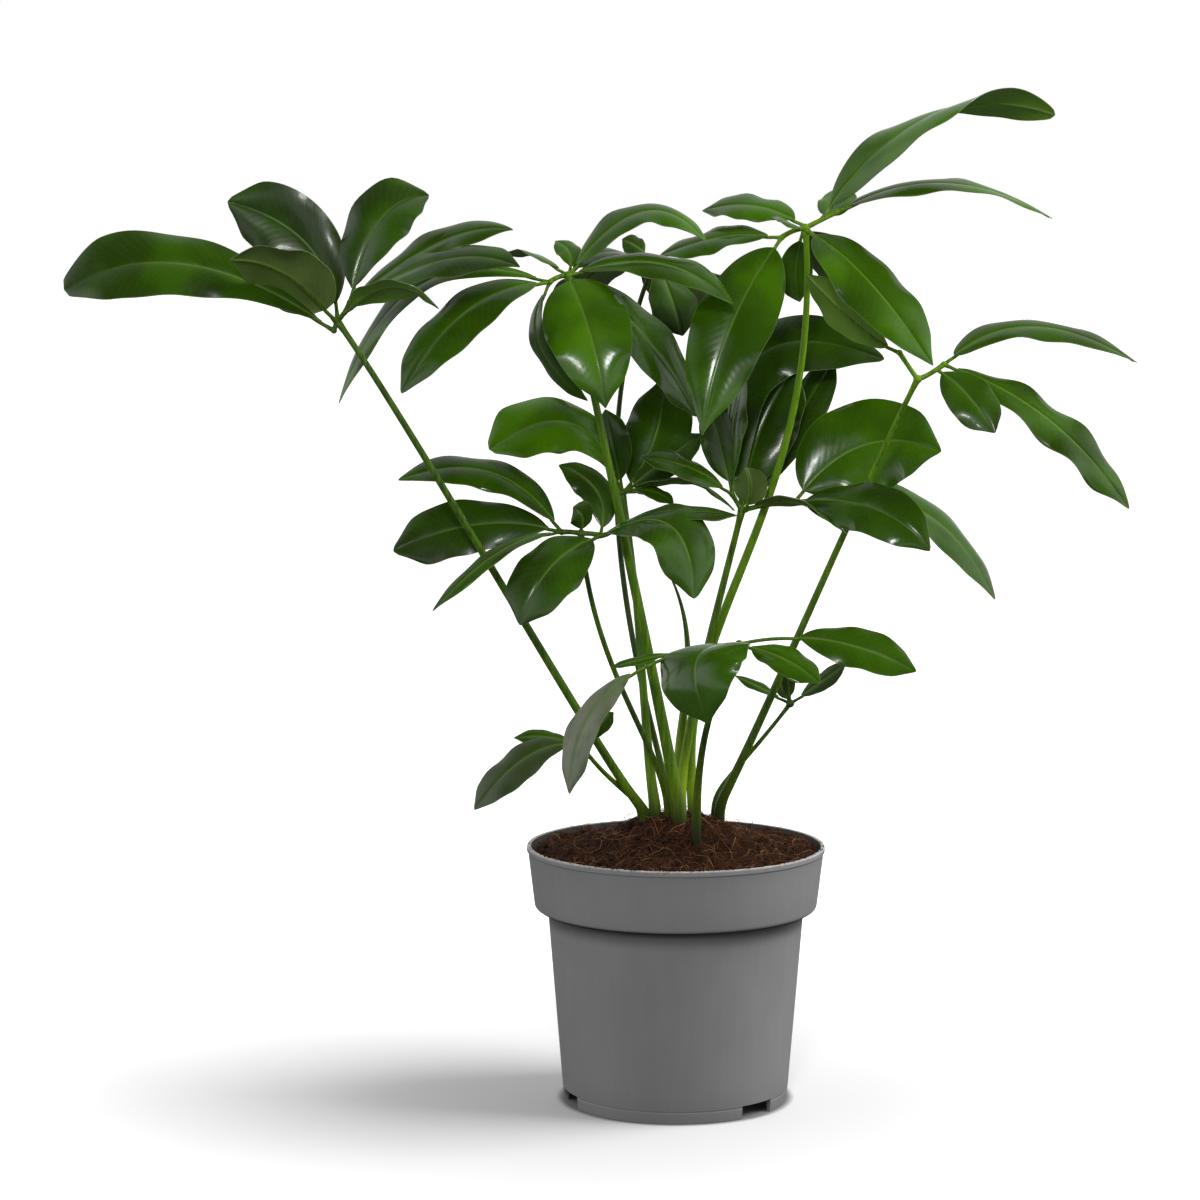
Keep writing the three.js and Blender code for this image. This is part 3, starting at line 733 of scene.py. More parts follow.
class Path:
    """A line with frames carried along it without spin: places, along, up and side."""

    def __init__(
        self, line: np.ndarray, face: Triple, twist: float = 0.0, smooth: float = 0.0
    ) -> None:
        """Measures the line and carries its frames from the middle both ways.

        Args:
            line: places close together along it, in millimetres.
            face: the way that up looks half-way along.
            twist: degrees that up turns from one end to the other.
            smooth: the length over which its bends are eased.
        """
        self.share = np.linspace(0.0, 1.0, FRAME_STEPS + 1)
        self.length, self.at = self._even(line)
        if smooth:
            passes = max(1, int((smooth / (self.length / FRAME_STEPS)) ** 2))
            for _ in range(passes):
                self.at[1:-1] = 0.25 * self.at[:-2] + 0.5 * self.at[1:-1] + 0.25 * self.at[2:]
        self.along = unit(np.gradient(self.at, axis=0))
        up = np.zeros_like(self.at)
        middle = FRAME_STEPS // 2
        up[middle] = self._square(np.array(face, float), self.along[middle])
        for i in range(middle + 1, FRAME_STEPS + 1):
            up[i] = self._square(up[i - 1], self.along[i])
        for i in range(middle - 1, -1, -1):
            up[i] = self._square(up[i + 1], self.along[i])
        angle = np.radians(twist * (self.share - 0.5))[:, None]
        turned = np.cross(self.along, up)
        self.up = unit(up * np.cos(angle) + turned * np.sin(angle))
        self.side = np.cross(self.along, self.up)

    def _even(self, line: np.ndarray) -> tuple[float, np.ndarray]:
        """The line's length, and places evenly along it."""
        run = np.concatenate([[0.0], np.cumsum(np.linalg.norm(np.diff(line, axis=0), axis=1))])
        even = [np.interp(self.share * run[-1], run, line[:, k]) for k in range(3)]
        return float(run[-1]), np.stack(even, axis=1)

    @staticmethod
    def _square(v: np.ndarray, along: np.ndarray) -> np.ndarray:
        """v made perpendicular to along, at length 1."""
        return unit(v - along * (v @ along))

    def lowered(self, share: np.ndarray, drop: np.ndarray) -> Path:
        """The line that runs under this one.

        Args:
            share: places from 0 to 1 along this line.
            drop: how far below it the new line is at each, against up.

        Returns:
            The new line.
        """
        at, _, up, _ = self.frames(share)
        middle = self.up[FRAME_STEPS // 2]
        return Path(at - up * drop[:, None], tuple(middle))

    def frames(self, share: np.ndarray) -> tuple[np.ndarray, np.ndarray, np.ndarray, np.ndarray]:
        """Frames at shares of the length.

        Args:
            share: places from 0 to 1 along the curve.

        Returns:
            Places, along, up and side.
        """

        def read(values: np.ndarray) -> np.ndarray:
            """Values at the shares."""
            return np.stack([np.interp(share, self.share, values[:, k]) for k in range(3)], axis=1)

        return read(self.at), unit(read(self.along)), unit(read(self.up)), unit(read(self.side))


# ------------------------------------------------------------------ meshes


@dataclass
class Shape:
    """A mesh that is being gathered: points in millimetres, faces and values on the points."""

    points: list[np.ndarray] = field(default_factory=list)
    faces: list[np.ndarray] = field(default_factory=list)
    slots: list[np.ndarray] = field(default_factory=list)
    values: dict[str, list[np.ndarray]] = field(default_factory=dict)
    count: int = 0

    def add(
        self,
        points: np.ndarray,
        faces: np.ndarray,
        slot: int | np.ndarray = 0,
        **values: float | np.ndarray,
    ) -> None:
        """Adds points and faces.

        Args:
            points: the new points, one row each.
            faces: four point numbers a face, or three and then -1.
            slot: the material slot of the faces, one or one each.
            values: named values of the points, one or one each.
        """
        self.points.append(points)
        self.faces.append(np.where(faces >= 0, faces + self.count, -1))
        self.slots.append(np.broadcast_to(np.asarray(slot), (len(faces),)))
        for name, value in values.items():
            spread = np.broadcast_to(np.asarray(value, float), (len(points),))
            self.values.setdefault(name, []).append(spread)
        self.count += len(points)

    def add_rings(
        self,
        rings: np.ndarray,
        ends: np.ndarray,
        backward: bool = False,
        **values: float | np.ndarray,
    ) -> None:
        """Adds a closed body whose skin is rings of points, with a fan of triangles over each end.

        Args:
            rings: the points of every ring, as ring, point and coordinate.
            ends: the point in the middle of the first end and that of the last.
            backward: whether the faces turn the other way.
            values: named values, one for the whole body or one a ring.
        """
        rows, sides = rings.shape[:2]
        last = (rows - 1) * sides
        skin = grid_faces(rows, sides, closed=True)
        fans = [
            fan_faces(rows * sides, 0, sides, not backward),
            fan_faces(rows * sides + 1, last, sides, backward),
        ]
        spread = {}
        for name, value in values.items():
            along = np.broadcast_to(np.asarray(value, float), (rows,))
            spread[name] = np.concatenate([np.repeat(along, sides), [along[0], along[-1]]])
        faces = np.concatenate([skin[:, ::-1] if backward else skin, *fans])
        self.add(np.concatenate([rings.reshape(-1, 3), ends]), faces, 0, **spread)

    def piece(
        self, name: str, finishes: Sequence[bpy.types.Material], sharp: float = 60.0
    ) -> bpy.types.Object:
        """Makes the object.

        Args:
            name: its name.
            finishes: its materials, in the order of the slots.
            sharp: edges that turn by more than these degrees stay sharp.

        Returns:
            The object, linked to the scene.
        """
        points = np.concatenate(self.points) * MM
        faces = np.concatenate(self.faces)
        rows = [tuple(int(i) for i in row if i >= 0) for row in faces]
        mesh = bpy.data.meshes.new(name)
        mesh.from_pydata(points.tolist(), [], rows)
        mesh.update()
        mesh.polygons.foreach_set("material_index", np.concatenate(self.slots).astype(np.int32))
        mesh.polygons.foreach_set("use_smooth", np.ones(len(rows), bool))
        mesh.set_sharp_from_angle(angle=math.radians(sharp))
        for key, parts in self.values.items():
            layer = mesh.attributes.new(key, "FLOAT", "POINT")
            layer.data.foreach_set("value", np.concatenate(parts).astype(np.float32))
        for finish in finishes:
            mesh.materials.append(finish)
        mesh.validate()
        thing = bpy.data.objects.new(name, mesh)
        bpy.context.scene.collection.objects.link(thing)
        return thing


def grid_faces(rows: int, columns: int, closed: bool = False) -> np.ndarray:
    """Quads over a grid of points that were laid row by row.

    Args:
        rows: the number of rows.
        columns: the number of points in a row.
        closed: whether each row joins up with its own start.

    Returns:
        The quads.
    """
    across = np.arange(columns if closed else columns - 1)
    i, j = np.meshgrid(np.arange(rows - 1), across, indexing="ij")
    k = (j + 1) % columns
    a, b = i * columns + j, i * columns + k
    return np.stack([a, b, b + columns, a + columns], axis=-1).reshape(-1, 4)


def slab_faces(rows: int, columns: int) -> tuple[np.ndarray, np.ndarray]:
    """Faces of a closed slab: a grid of upper points, the same grid of lower points, and four sides.

    Args:
        rows: the number of rows.
        columns: the number of points in a row.

    Returns:
        The quads, and their slots: 1 for the lower grid and 0 for the rest.
    """
    total = rows * columns
    i, j = np.arange(rows - 1), np.arange(columns - 1)
    left, right = i * columns, i * columns + columns - 1
    last = (rows - 1) * columns
    edges = [(left, left + columns), (right + columns, right), (j + 1, j), (last + j, last + j + 1)]
    strips = [np.stack([a, b, b + total, a + total], 1) for a, b in edges]
    upper = grid_faces(rows, columns)
    faces = np.concatenate([upper, upper[:, ::-1] + total, *strips])
    slots = np.zeros(len(faces), int)
    slots[len(upper) : 2 * len(upper)] = 1
    return faces, slots


def fan_faces(centre: int, start: int, sides: int, backward: bool) -> np.ndarray:
    """Triangles from one point to a ring of points.

    Args:
        centre: the number of the point in the middle.
        start: the number of the ring's first point.
        sides: how many points the ring has.
        backward: whether the triangles turn against the ring.

    Returns:
        The triangles, each with -1 as its fourth number.
    """
    j = start + np.arange(sides)
    k = start + (np.arange(sides) + 1) % sides
    pair = (k, j) if backward else (j, k)
    return np.stack([np.full(sides, centre), *pair, np.full(sides, -1)], axis=1)


def turns(count: int) -> np.ndarray:
    """Angles evenly round a full turn, in radians."""
    return np.linspace(0.0, 2.0 * math.pi, count, endpoint=False)


def hoop(side: np.ndarray, up: np.ndarray, angle: np.ndarray) -> np.ndarray:
    """Unit rings across a line.

    Args:
        side: the way to the side at each ring.
        up: the way up at each ring.
        angle: the angles of the points, the same for all rings or a row for each.

    Returns:
        The ring's points about its middle, as ring, point and coordinate.
    """
    angle = np.atleast_2d(angle)[..., None]
    return side[:, None, :] * np.cos(angle) + up[:, None, :] * np.sin(angle)


def tube(
    shape: Shape,
    path: Path,
    radii: np.ndarray,
    share: np.ndarray,
    sides: int,
    **values: float | np.ndarray,
) -> None:
    """Adds a closed round tube along a path, with a low cone over each end.

    Args:
        shape: the mesh to add to.
        path: the line of its middle.
        radii: its radius at each ring.
        share: where each ring is along the path.
        sides: how many sides it has.
        values: named values, one for the whole tube or one a ring.
    """
    at, along, up, side = path.frames(share)
    rings = at[:, None] + hoop(side, up, turns(sides)) * radii[:, None, None]
    caps = np.stack([at[0] - along[0] * radii[0] * 0.5, at[-1] + along[-1] * radii[-1] * 0.7])
    shape.add_rings(rings, caps, backward=True, **values)


def lathe_rings(section: np.ndarray, sides: int) -> np.ndarray:
    """Rings round the upright axis.

    Args:
        section: radius and height of each ring.
        sides: how many points a ring has.

    Returns:
        The rings, as ring, point and coordinate.
    """
    angle = turns(sides)
    x, y = np.cos(angle), np.sin(angle)
    radius, height = section[:, 0, None], section[:, 1, None]
    return np.stack([radius * x, radius * y, np.repeat(height, sides, axis=1)], axis=-1)


def strand(shape: Shape, places: np.ndarray, radius: float, **values: float) -> None:
    """Adds a thin three-sided strand that narrows to both ends.

    Args:
        shape: the mesh to add to.
        places: the points it runs through.
        radius: its radius in the middle.
        values: named values of its points.
    """
    along = unit(np.gradient(places, axis=0) + 1e-9)
    side = unit(np.cross(along, (0.05, 0.03, 1.0)))
    up = np.cross(side, along)
    count = len(places)
    radii = radius * (0.35 + 0.65 * np.sin(np.linspace(0.1, math.pi - 0.1, count)))
    points = (places[:, None] + hoop(side, up, turns(3)) * radii[:, None, None]).reshape(-1, 3)
    last = (count - 1) * 3
    ends = np.array([[2, 1, 0, -1], [last, last + 1, last + 2, -1]])
    faces = np.concatenate([grid_faces(count, 3, closed=True), ends])
    shape.add(points, faces, 0, **values)


def bead(shape: Shape, centre: np.ndarray, radius: float, **values: float) -> None:
    """Adds a round knuckle.

    Args:
        shape: the mesh to add to.
        centre: its middle.
        radius: its radius.
        values: named values of its points.
    """
    tilt = np.linspace(-math.pi / 2, math.pi / 2, BEAD_RINGS + 2)[1:-1]
    rings = lathe_rings(np.stack([np.cos(tilt), np.sin(tilt)], axis=1), BEAD_SIDES)
    poles = np.array([[0.0, 0.0, -1.0], [0.0, 0.0, 1.0]])
    shape.add_rings(rings * radius + centre, poles * radius + centre, **values)


@lru_cache(maxsize=1)
def icosahedron() -> tuple[np.ndarray, np.ndarray]:
    """The corners of an icosahedron at length 1, and its outward triangles with -1 as fourth number."""
    golden = (1.0 + math.sqrt(5.0)) / 2.0
    corners = []
    for a in (-1.0, 1.0):
        for b in (-golden, golden):
            corners += [(0.0, a, b), (a, b, 0.0), (b, 0.0, a)]
    points = unit(np.array(corners))
    hull = []
    for i, j, k in combinations(range(len(points)), 3):
        a, b, c = points[i], points[j], points[k]
        if min(a @ b, b @ c, a @ c) > EDGE_COSINE:
            outward = np.cross(b - a, c - a) @ a > 0
            hull.append((i, j, k, -1) if outward else (i, k, j, -1))
    return points, np.array(hull)


def lump(shape: Shape, draw: random.Random, centre: np.ndarray, size: float) -> None:
    """Adds an irregular crumb.

    Args:
        shape: the mesh to add to.
        draw: the source of its differences.
        centre: its middle.
        size: its mean radius.
    """
    points, faces = icosahedron()
    stretch = np.array([draw.uniform(0.7, 1.3), draw.uniform(0.7, 1.3), draw.uniform(0.5, 0.9)])
    rough = np.array([draw.uniform(0.75, 1.25) for _ in points])
    shape.add(points * rough[:, None] * stretch * size + centre, faces)


# ------------------------------------------------------------------ the plant's plan


@dataclass(frozen=True)
class LeafletPlan:
    """One leaflet. Places are on its midrib, in millimetres from the frond's knuckle.

    face is the way its upper side looks half-way along, width its widest place before the fold, and
    fold the rise of its two halves in degrees. cup turns its margins down, wave and ruffle are the
    slow and quick waves of its margins as shares of its half width, belly is where it is widest, and
    fresh makes it brighter than its frond; where the sum of freshness falls below zero, it lays a
    painted grey sheen on the leaflet.
    """

    mid: Triple
    tip: Triple
    width: float
    face: Triple
    root: Triple = (0, 0, 0)
    twist: float = 0.0
    fold: float = 13.0
    cup: float = 0.3
    wave: float = 0.09
    waves: float = 1.5
    belly: float = 0.54
    taper: float = 1.3
    stalk: float = 9.0
    ruffle: float = 0.05
    ruffles: float = 3.4
    fresh: float = 0.0


@dataclass(frozen=True)
class FrondPlan:
    """One frond, in millimetres.

    petiole runs from the crown up to the knuckle, radii are its radius at both, and arms are the paths
    of short branches, measured from the knuckle. fresh is how bright its green is, stem_fresh and
    foot_fresh how much brighter the petiole and its foot are, and sheath how yellow the foot is.
    """

    name: str
    petiole: tuple[Triple, ...]
    radii: Pair
    arms: tuple[tuple[Triple, ...], ...] = ()
    leaflets: tuple[LeafletPlan, ...] = ()
    fresh: float = 0.4
    stem_fresh: float = 0.0
    foot_fresh: float = 0.2
    sheath: float = 0.2


FRONDS: tuple[FrondPlan, ...] = (
    FrondPlan(
        "frond_far_left",
        petiole=((-19, -6, CROWN_Z), (-57, -26, 245), (-137, -60, 384), (-208, -70, 499)),
        radii=(2.9, 1.8),
        arms=(((-2, 0, -6),), ((4, -2, 4), (8, -2, 11))),
        fresh=0.3,
        leaflets=(
            LeafletPlan(
                (-88, -12, 34), (-164, -10, 19), 54, (-1, -7, 6),
                root=(-2, 0, -6), fold=18, belly=0.75, fresh=0.1,
            ),
            LeafletPlan(
                (-20, 15, 47), (-68, 22, 72), 48, (-3, -8, 3), root=(0, 1, 2), fold=22, belly=0.6
            ),
            LeafletPlan((-30, -15, 29), (-62, -25, 37), 54, (2, 6, 5), root=(-1, -2, 0), belly=0.42),
            LeafletPlan(
                (25, 10, 60), (55, 24, 76), 48, (-3, -7, 4), root=(8, -2, 11), fold=22, belly=0.62
            ),
            LeafletPlan((63, 2, 48), (107, -10, 55), 34, (0, -4, 8), root=(8, -2, 11), belly=0.45),
            LeafletPlan((66, -22, 37), (112, -45, 33), 36, (0, -5, 8), root=(8, -2, 11), belly=0.48),
            LeafletPlan((36, -28, 21), (64, -38, 8), 30, (0, 4, 8), root=(4, -2, 4), fresh=0.8),
        ),
    ),
    FrondPlan(
        "frond_left",
        petiole=((2, -15, CROWN_Z), (-17, -28, 285), (-42, -40, 405), (-68, -50, 526)),
        radii=(3.9, 1.8),
        arms=(((-6, -1, -1), (-11, -3, -4)),),
        fresh=0.55,
        foot_fresh=-0.1,
        stem_fresh=0.1,
        leaflets=(
            LeafletPlan((-60, -28, -20), (-100, -42, -70), 40, (-4, -7, 6), root=(-11, -3, -4)),
            LeafletPlan((14, -33, -36), (23, -42, -79), 54, (0, -8, 3), belly=0.4, stalk=5, fresh=0.2),
            LeafletPlan((45, 14, 39), (85, 14, 21), 34, (0, -3, 8)),
            LeafletPlan((55, -6, 8), (101, -12, -17), 34, (1, -4, 8)),
            LeafletPlan((-21, 18, 13), (-40, 34, 12), 22, (0, 2, 9)),
            LeafletPlan((1, 16, 14), (-8, 30, 21), 16, (0, -6, 7)),
            LeafletPlan((17, 24, 13), (37, 46, 13), 26, (0, -4, 8)),
            LeafletPlan((-90, 4, -5), (-141, 2, -78), 24, (-2, -4, 8), root=(-11, -3, -4)),
            LeafletPlan((-18, -10, -40), (12, -14, -76), 24, (-8, -5, -2), root=(-11, -3, -4)),
            LeafletPlan((45, 14, -34), (80, 32, -88), 40, (3, -6, 5)),
        ),
    ),
    FrondPlan(
        "frond_back",
        petiole=((-3, 22, CROWN_Z), (-24, 32, 275), (-38, 46, 400), (-13, 62, 534)),
        radii=(2, 1.5),
        fresh=0.15,
        foot_fresh=-0.1,
        leaflets=(
            LeafletPlan((-11, 2, 9), (-21, 4, 14), 18, (0, -6, 7)),
            LeafletPlan((8, -12, -16), (18, -8, -48), 34, (3, -6, 4), twist=60),
            LeafletPlan((10, 45, -6), (25, 88, -40), 42, (0, 2, 9)),
            LeafletPlan((-38, 36, -6), (-64, 66, -42), 40, (0, 1, 9)),
            LeafletPlan((40, 34, -14), (66, 66, -46), 38, (0, 1, 9)),
        ),
    ),
    FrondPlan(
        "frond_top",
        petiole=((12, 9, CROWN_Z), (24, 8, 294), (64, -3, 405), (79, -20, 555)),
        radii=(3.3, 1.8),
        arms=(((-8, -2, -2), (-15, -4, -6)), ((10, 2, 5), (20, 4, 10))),
        fresh=0.7,
        foot_fresh=0.3,
        sheath=0.6,
        stem_fresh=0.2,
        leaflets=(
            # its high freshness paints the bright look of light shining through this leaflet
            LeafletPlan(
                (76, -4, 69), (152, -14, 69), 54, (-6, -2, 8),
                root=(10, 2, 5), twist=-115, belly=0.64, fresh=0.9,
            ),
            LeafletPlan((86, 10, 28), (155, 14, 6), 34, (0, -2, 9), root=(20, 4, 10), belly=0.4),
            LeafletPlan((19, 22, 14), (29, 42, 26), 24, (0, -4, 8), root=(10, 2, 5)),
            LeafletPlan((35, -32, -30), (75, -52, -83), 46, (4, -8, 5), root=(0, -1, -1), belly=0.46),
            LeafletPlan(
                (-47, -32, -60), (-65, -46, -126), 52, (-2, -8, 3),
                root=(-15, -4, -6), belly=0.42, taper=1.5,
            ),
            LeafletPlan((-50, 6, -5), (-90, 14, -17), 34, (0, -4, 8), root=(-15, -4, -6), fresh=-0.2),
            LeafletPlan((-30, 20, 14), (-63, 34, 11), 34, (0, -4, 7), root=(0, 2, 1), fresh=-0.2),
            LeafletPlan((-10, -14, 3), (-19, -24, 5), 20, (0, -5, 7), root=(-4, -1, -1)),
            LeafletPlan((-5, 14, -26), (-2, 18, -46), 22, (0, -8, 2), root=(-1, 0, -1)),
            LeafletPlan((26, 44, -22), (42, 84, -64), 40, (0, 2, 9), fresh=-0.3),
        ),
    ),
    FrondPlan(
        "frond_right",
        petiole=((28, 11, CROWN_Z), (58, -4, 255), (103, -23, 362), (146, -58, 463)),
        radii=(2.8, 1.6),
        arms=(((-5, 1, 7), (-11, 2, 16)), ((7, 0, 3), (16, 0, 9))),
        fresh=0.5,
        foot_fresh=-0.5,
        stem_fresh=0.4,
        leaflets=(
            LeafletPlan(
                (69, 10, 32), (135, 6, 10), 32, (0, -3, 8), root=(16, 0, 9), belly=0.42, fresh=-0.2
            ),
            LeafletPlan(
                (76, -20, -22), (126, -30, -77), 34, (2, -5, 6),
                root=(16, 0, 9), wave=0.16, waves=3, belly=0.56, fresh=-0.25,
            ),
            LeafletPlan(
                (28, -20, -8), (44, -32, -31), 30, (0, -8, 4), root=(12, 0, 6), stalk=5, fresh=-0.25
            ),
            LeafletPlan((-36, 15, 34), (-67, 25, 64), 34, (2, 5, 6), root=(-11, 2, 16), fresh=0.4),
        ),
    ),
    FrondPlan(
        "frond_centre",
        petiole=((3, -1, CROWN_Z), (10, -1, 245), (27, 0, 320), (41, -4, 378)),
        radii=(3.1, 1.9),
        arms=(((16, -6, 4), (33, -8, 6)), ((-3, 1, 5), (-6, 1, 10))),
        fresh=0.5,
        foot_fresh=0.4,
        sheath=0.8,
        leaflets=(
            LeafletPlan(
                (9, 28, 94), (92, 36, 94), 48, (-2, -7, 5), root=(0, 3, 3), belly=0.6, fresh=-0.15
            ),
            LeafletPlan((13, 22, 50), (36, 26, 90), 48, (-3, -8, 2), root=(0, 3, 2)),
            LeafletPlan((38, 32, 58), (61, 48, 98), 30, (-3, -7, 3), root=(0, 3, 2)),
            LeafletPlan((-6, 2, 50), (1, 0, 90), 26, (-8, -4, 1), root=(-6, 1, 10)),
            LeafletPlan((5, -10, 15), (2, -13, 28), 22, (0, 8, 2), root=(2, -2, 1), stalk=4),
            LeafletPlan((-14, 5, 42), (-20, 6, 66), 26, (-3, -8, 1), root=(-6, 1, 10)),
            LeafletPlan((-33, -13, 28), (-64, -20, 35), 28, (0, -5, 8), root=(-6, 1, 10)),
            LeafletPlan((33, -25, 8), (64, -40, -12), 28, (0, 3, 8), root=(2, -2, 0)),
            LeafletPlan(
                (76, 0, 41), (126, 6, 37), 64, (-1, -8, 3), root=(33, -8, 6), belly=0.5, fresh=0.2
            ),
            LeafletPlan((78, -53, 6), (112, -70, -19), 38, (1, -8, 4), root=(33, -8, 6)),
            LeafletPlan((109, 2, 2), (160, -4, -56), 38, (2, -4, 7), root=(33, -8, 6)),
        ),
    ),
    FrondPlan(
        "frond_inner",
        petiole=((-13, 1, CROWN_Z), (-19, 2, 240), (-25, 5, 315), (-34, 10, 388)),
        radii=(3.1, 1.7),
        fresh=0.4,
        leaflets=(
            LeafletPlan((-32, -15, 45), (-84, -20, 29), 50, (-1, -6, 7), belly=0.68, fresh=0.6),
            LeafletPlan((-5, -4, 25), (-11, -2, 53), 24, (-2, -8, 0)),
            LeafletPlan((21, 15, 35), (25, 25, 71), 44, (-2, -8, 1)),
            LeafletPlan((26, 5, 20), (51, 8, 37), 28, (0, -5, 7)),
            LeafletPlan((39, -12, 9), (71, -20, -10), 28, (0, 2, 9)),
            LeafletPlan((18, -10, 2), (32, -16, -6), 14, (0, -4, 8)),
        ),
    ),
    FrondPlan(
        "frond_low_left",
        petiole=((-5, -8, CROWN_Z), (-20, -22, 235), (-44, -34, 292), (-60, -45, 367)),
        radii=(1.9, 1.5),
        arms=(((-6, -1, 1), (-12, -1, 1)), ((6, -1, 0), (12, -2, -1))),
        fresh=0.3,
        foot_fresh=-0.1,
        leaflets=(
            LeafletPlan((-56, 16, 37), (-114, 18, 32), 34, (-1, -4, 8), root=(-12, -1, 1)),
            LeafletPlan((-63, 10, 5), (-117, 12, -12), 42, (-1, -7, 5), root=(-12, -1, 1), belly=0.62),
            LeafletPlan((-49, -28, -8), (-90, -45, -43), 15, (-2, -4, 8), root=(-12, -1, 1)),
            LeafletPlan((-18, -34, -17), (-37, -44, -52), 44, (-2, -7, 5), root=(12, -2, -1)),
            LeafletPlan(
                (54, -30, 8), (69, -42, -36), 46, (2, -5, 6), root=(12, -2, -1), belly=0.58, stalk=4
            ),
            LeafletPlan((10, 12, 25), (-14, 20, 41), 24, (3, -7, 3), root=(12, -2, -1), stalk=6),
            LeafletPlan((1, -7, 11), (-5, -10, 17), 18, (0, -6, 7), stalk=4),
            LeafletPlan((52, -14, 14), (96, -8, 12), 24, (0, -3, 8), root=(12, -2, -1)),
        ),
    ),
    FrondPlan(
        "frond_front",
        petiole=((12, -38, CROWN_Z), (14, -52, 225), (21, -66, 262), (37, -70, 301)),
        radii=(2.4, 1.6),
        fresh=0.5,
        foot_fresh=-0.6,
        leaflets=(
            LeafletPlan(
                (-27, -34, -5), (-20, -42, -43), 62, (-5, -5, 8), fold=10, belly=0.4, taper=1.1
            ),
            LeafletPlan((53, -10, 4), (107, -20, -14), 32, (0, -6, 6), stalk=38),
            LeafletPlan((26, -18, -6), (48, -30, -20), 26, (1, -5, 7)),
            LeafletPlan((-45, -8, -5), (-79, -10, -13), 9, (0, -4, 8), stalk=45),
            # its low freshness gives this leaflet a painted grey sheen
            LeafletPlan((-77, -22, -23), (-104, -35, -87), 26, (-6, -5, 3), stalk=72, fresh=-1.3),
        ),
    ),
    FrondPlan(
        "frond_small_right",
        petiole=((25, 24, CROWN_Z), (33, 25, 201), (51, 26, 222), (74, 26, 251)),
        radii=(1.6, 1.2),
        fresh=0.25,
        leaflets=(
            LeafletPlan((21, -5, 16), (35, -8, 27), 14, (-3, -6, 5)),
            LeafletPlan((-4, 4, 7), (-7, 8, 14), 9, (-3, -6, 2), stalk=4),
            LeafletPlan((-17, 5, 9), (-35, 8, 17), 10, (0, -4, 8)),
            LeafletPlan((-1, -3, 10), (-2, -5, 21), 9, (0, -8, 1), stalk=5),
        ),
    ),
    FrondPlan(
        "frond_small_left",
        petiole=((-22, 6, CROWN_Z), (-38, -13, 205), (-49, -34, 219), (-60, -50, 235)),
        radii=(1.7, 1.3),
        fresh=0.35,
        leaflets=(
            # its low freshness gives this leaflet a painted grey sheen
            LeafletPlan((-32, -10, -4), (-66, -18, -37), 30, (-2, -5, 7), fresh=-0.75),
            LeafletPlan((-20, 5, 5), (-42, 8, 4), 13, (0, -5, 7)),
            LeafletPlan((8, 5, 9), (20, 8, 20), 13, (-2, -7, 3), stalk=5),
        ),
    ),
    FrondPlan(
        "new_leaf",
        petiole=((3, 14, CROWN_Z), (4, 16, 235), (8, 18, 287), (-7, 22, 341)),
        radii=(3.4, 0.45),
        fresh=0.8,
        sheath=0.9,
    ),
)


# ------------------------------------------------------------------ fronds


@dataclass(frozen=True)
class Bark:
    """The finishes that fronds share."""

    top: bpy.types.Material
    under: bpy.types.Material
    skin: bpy.types.Material


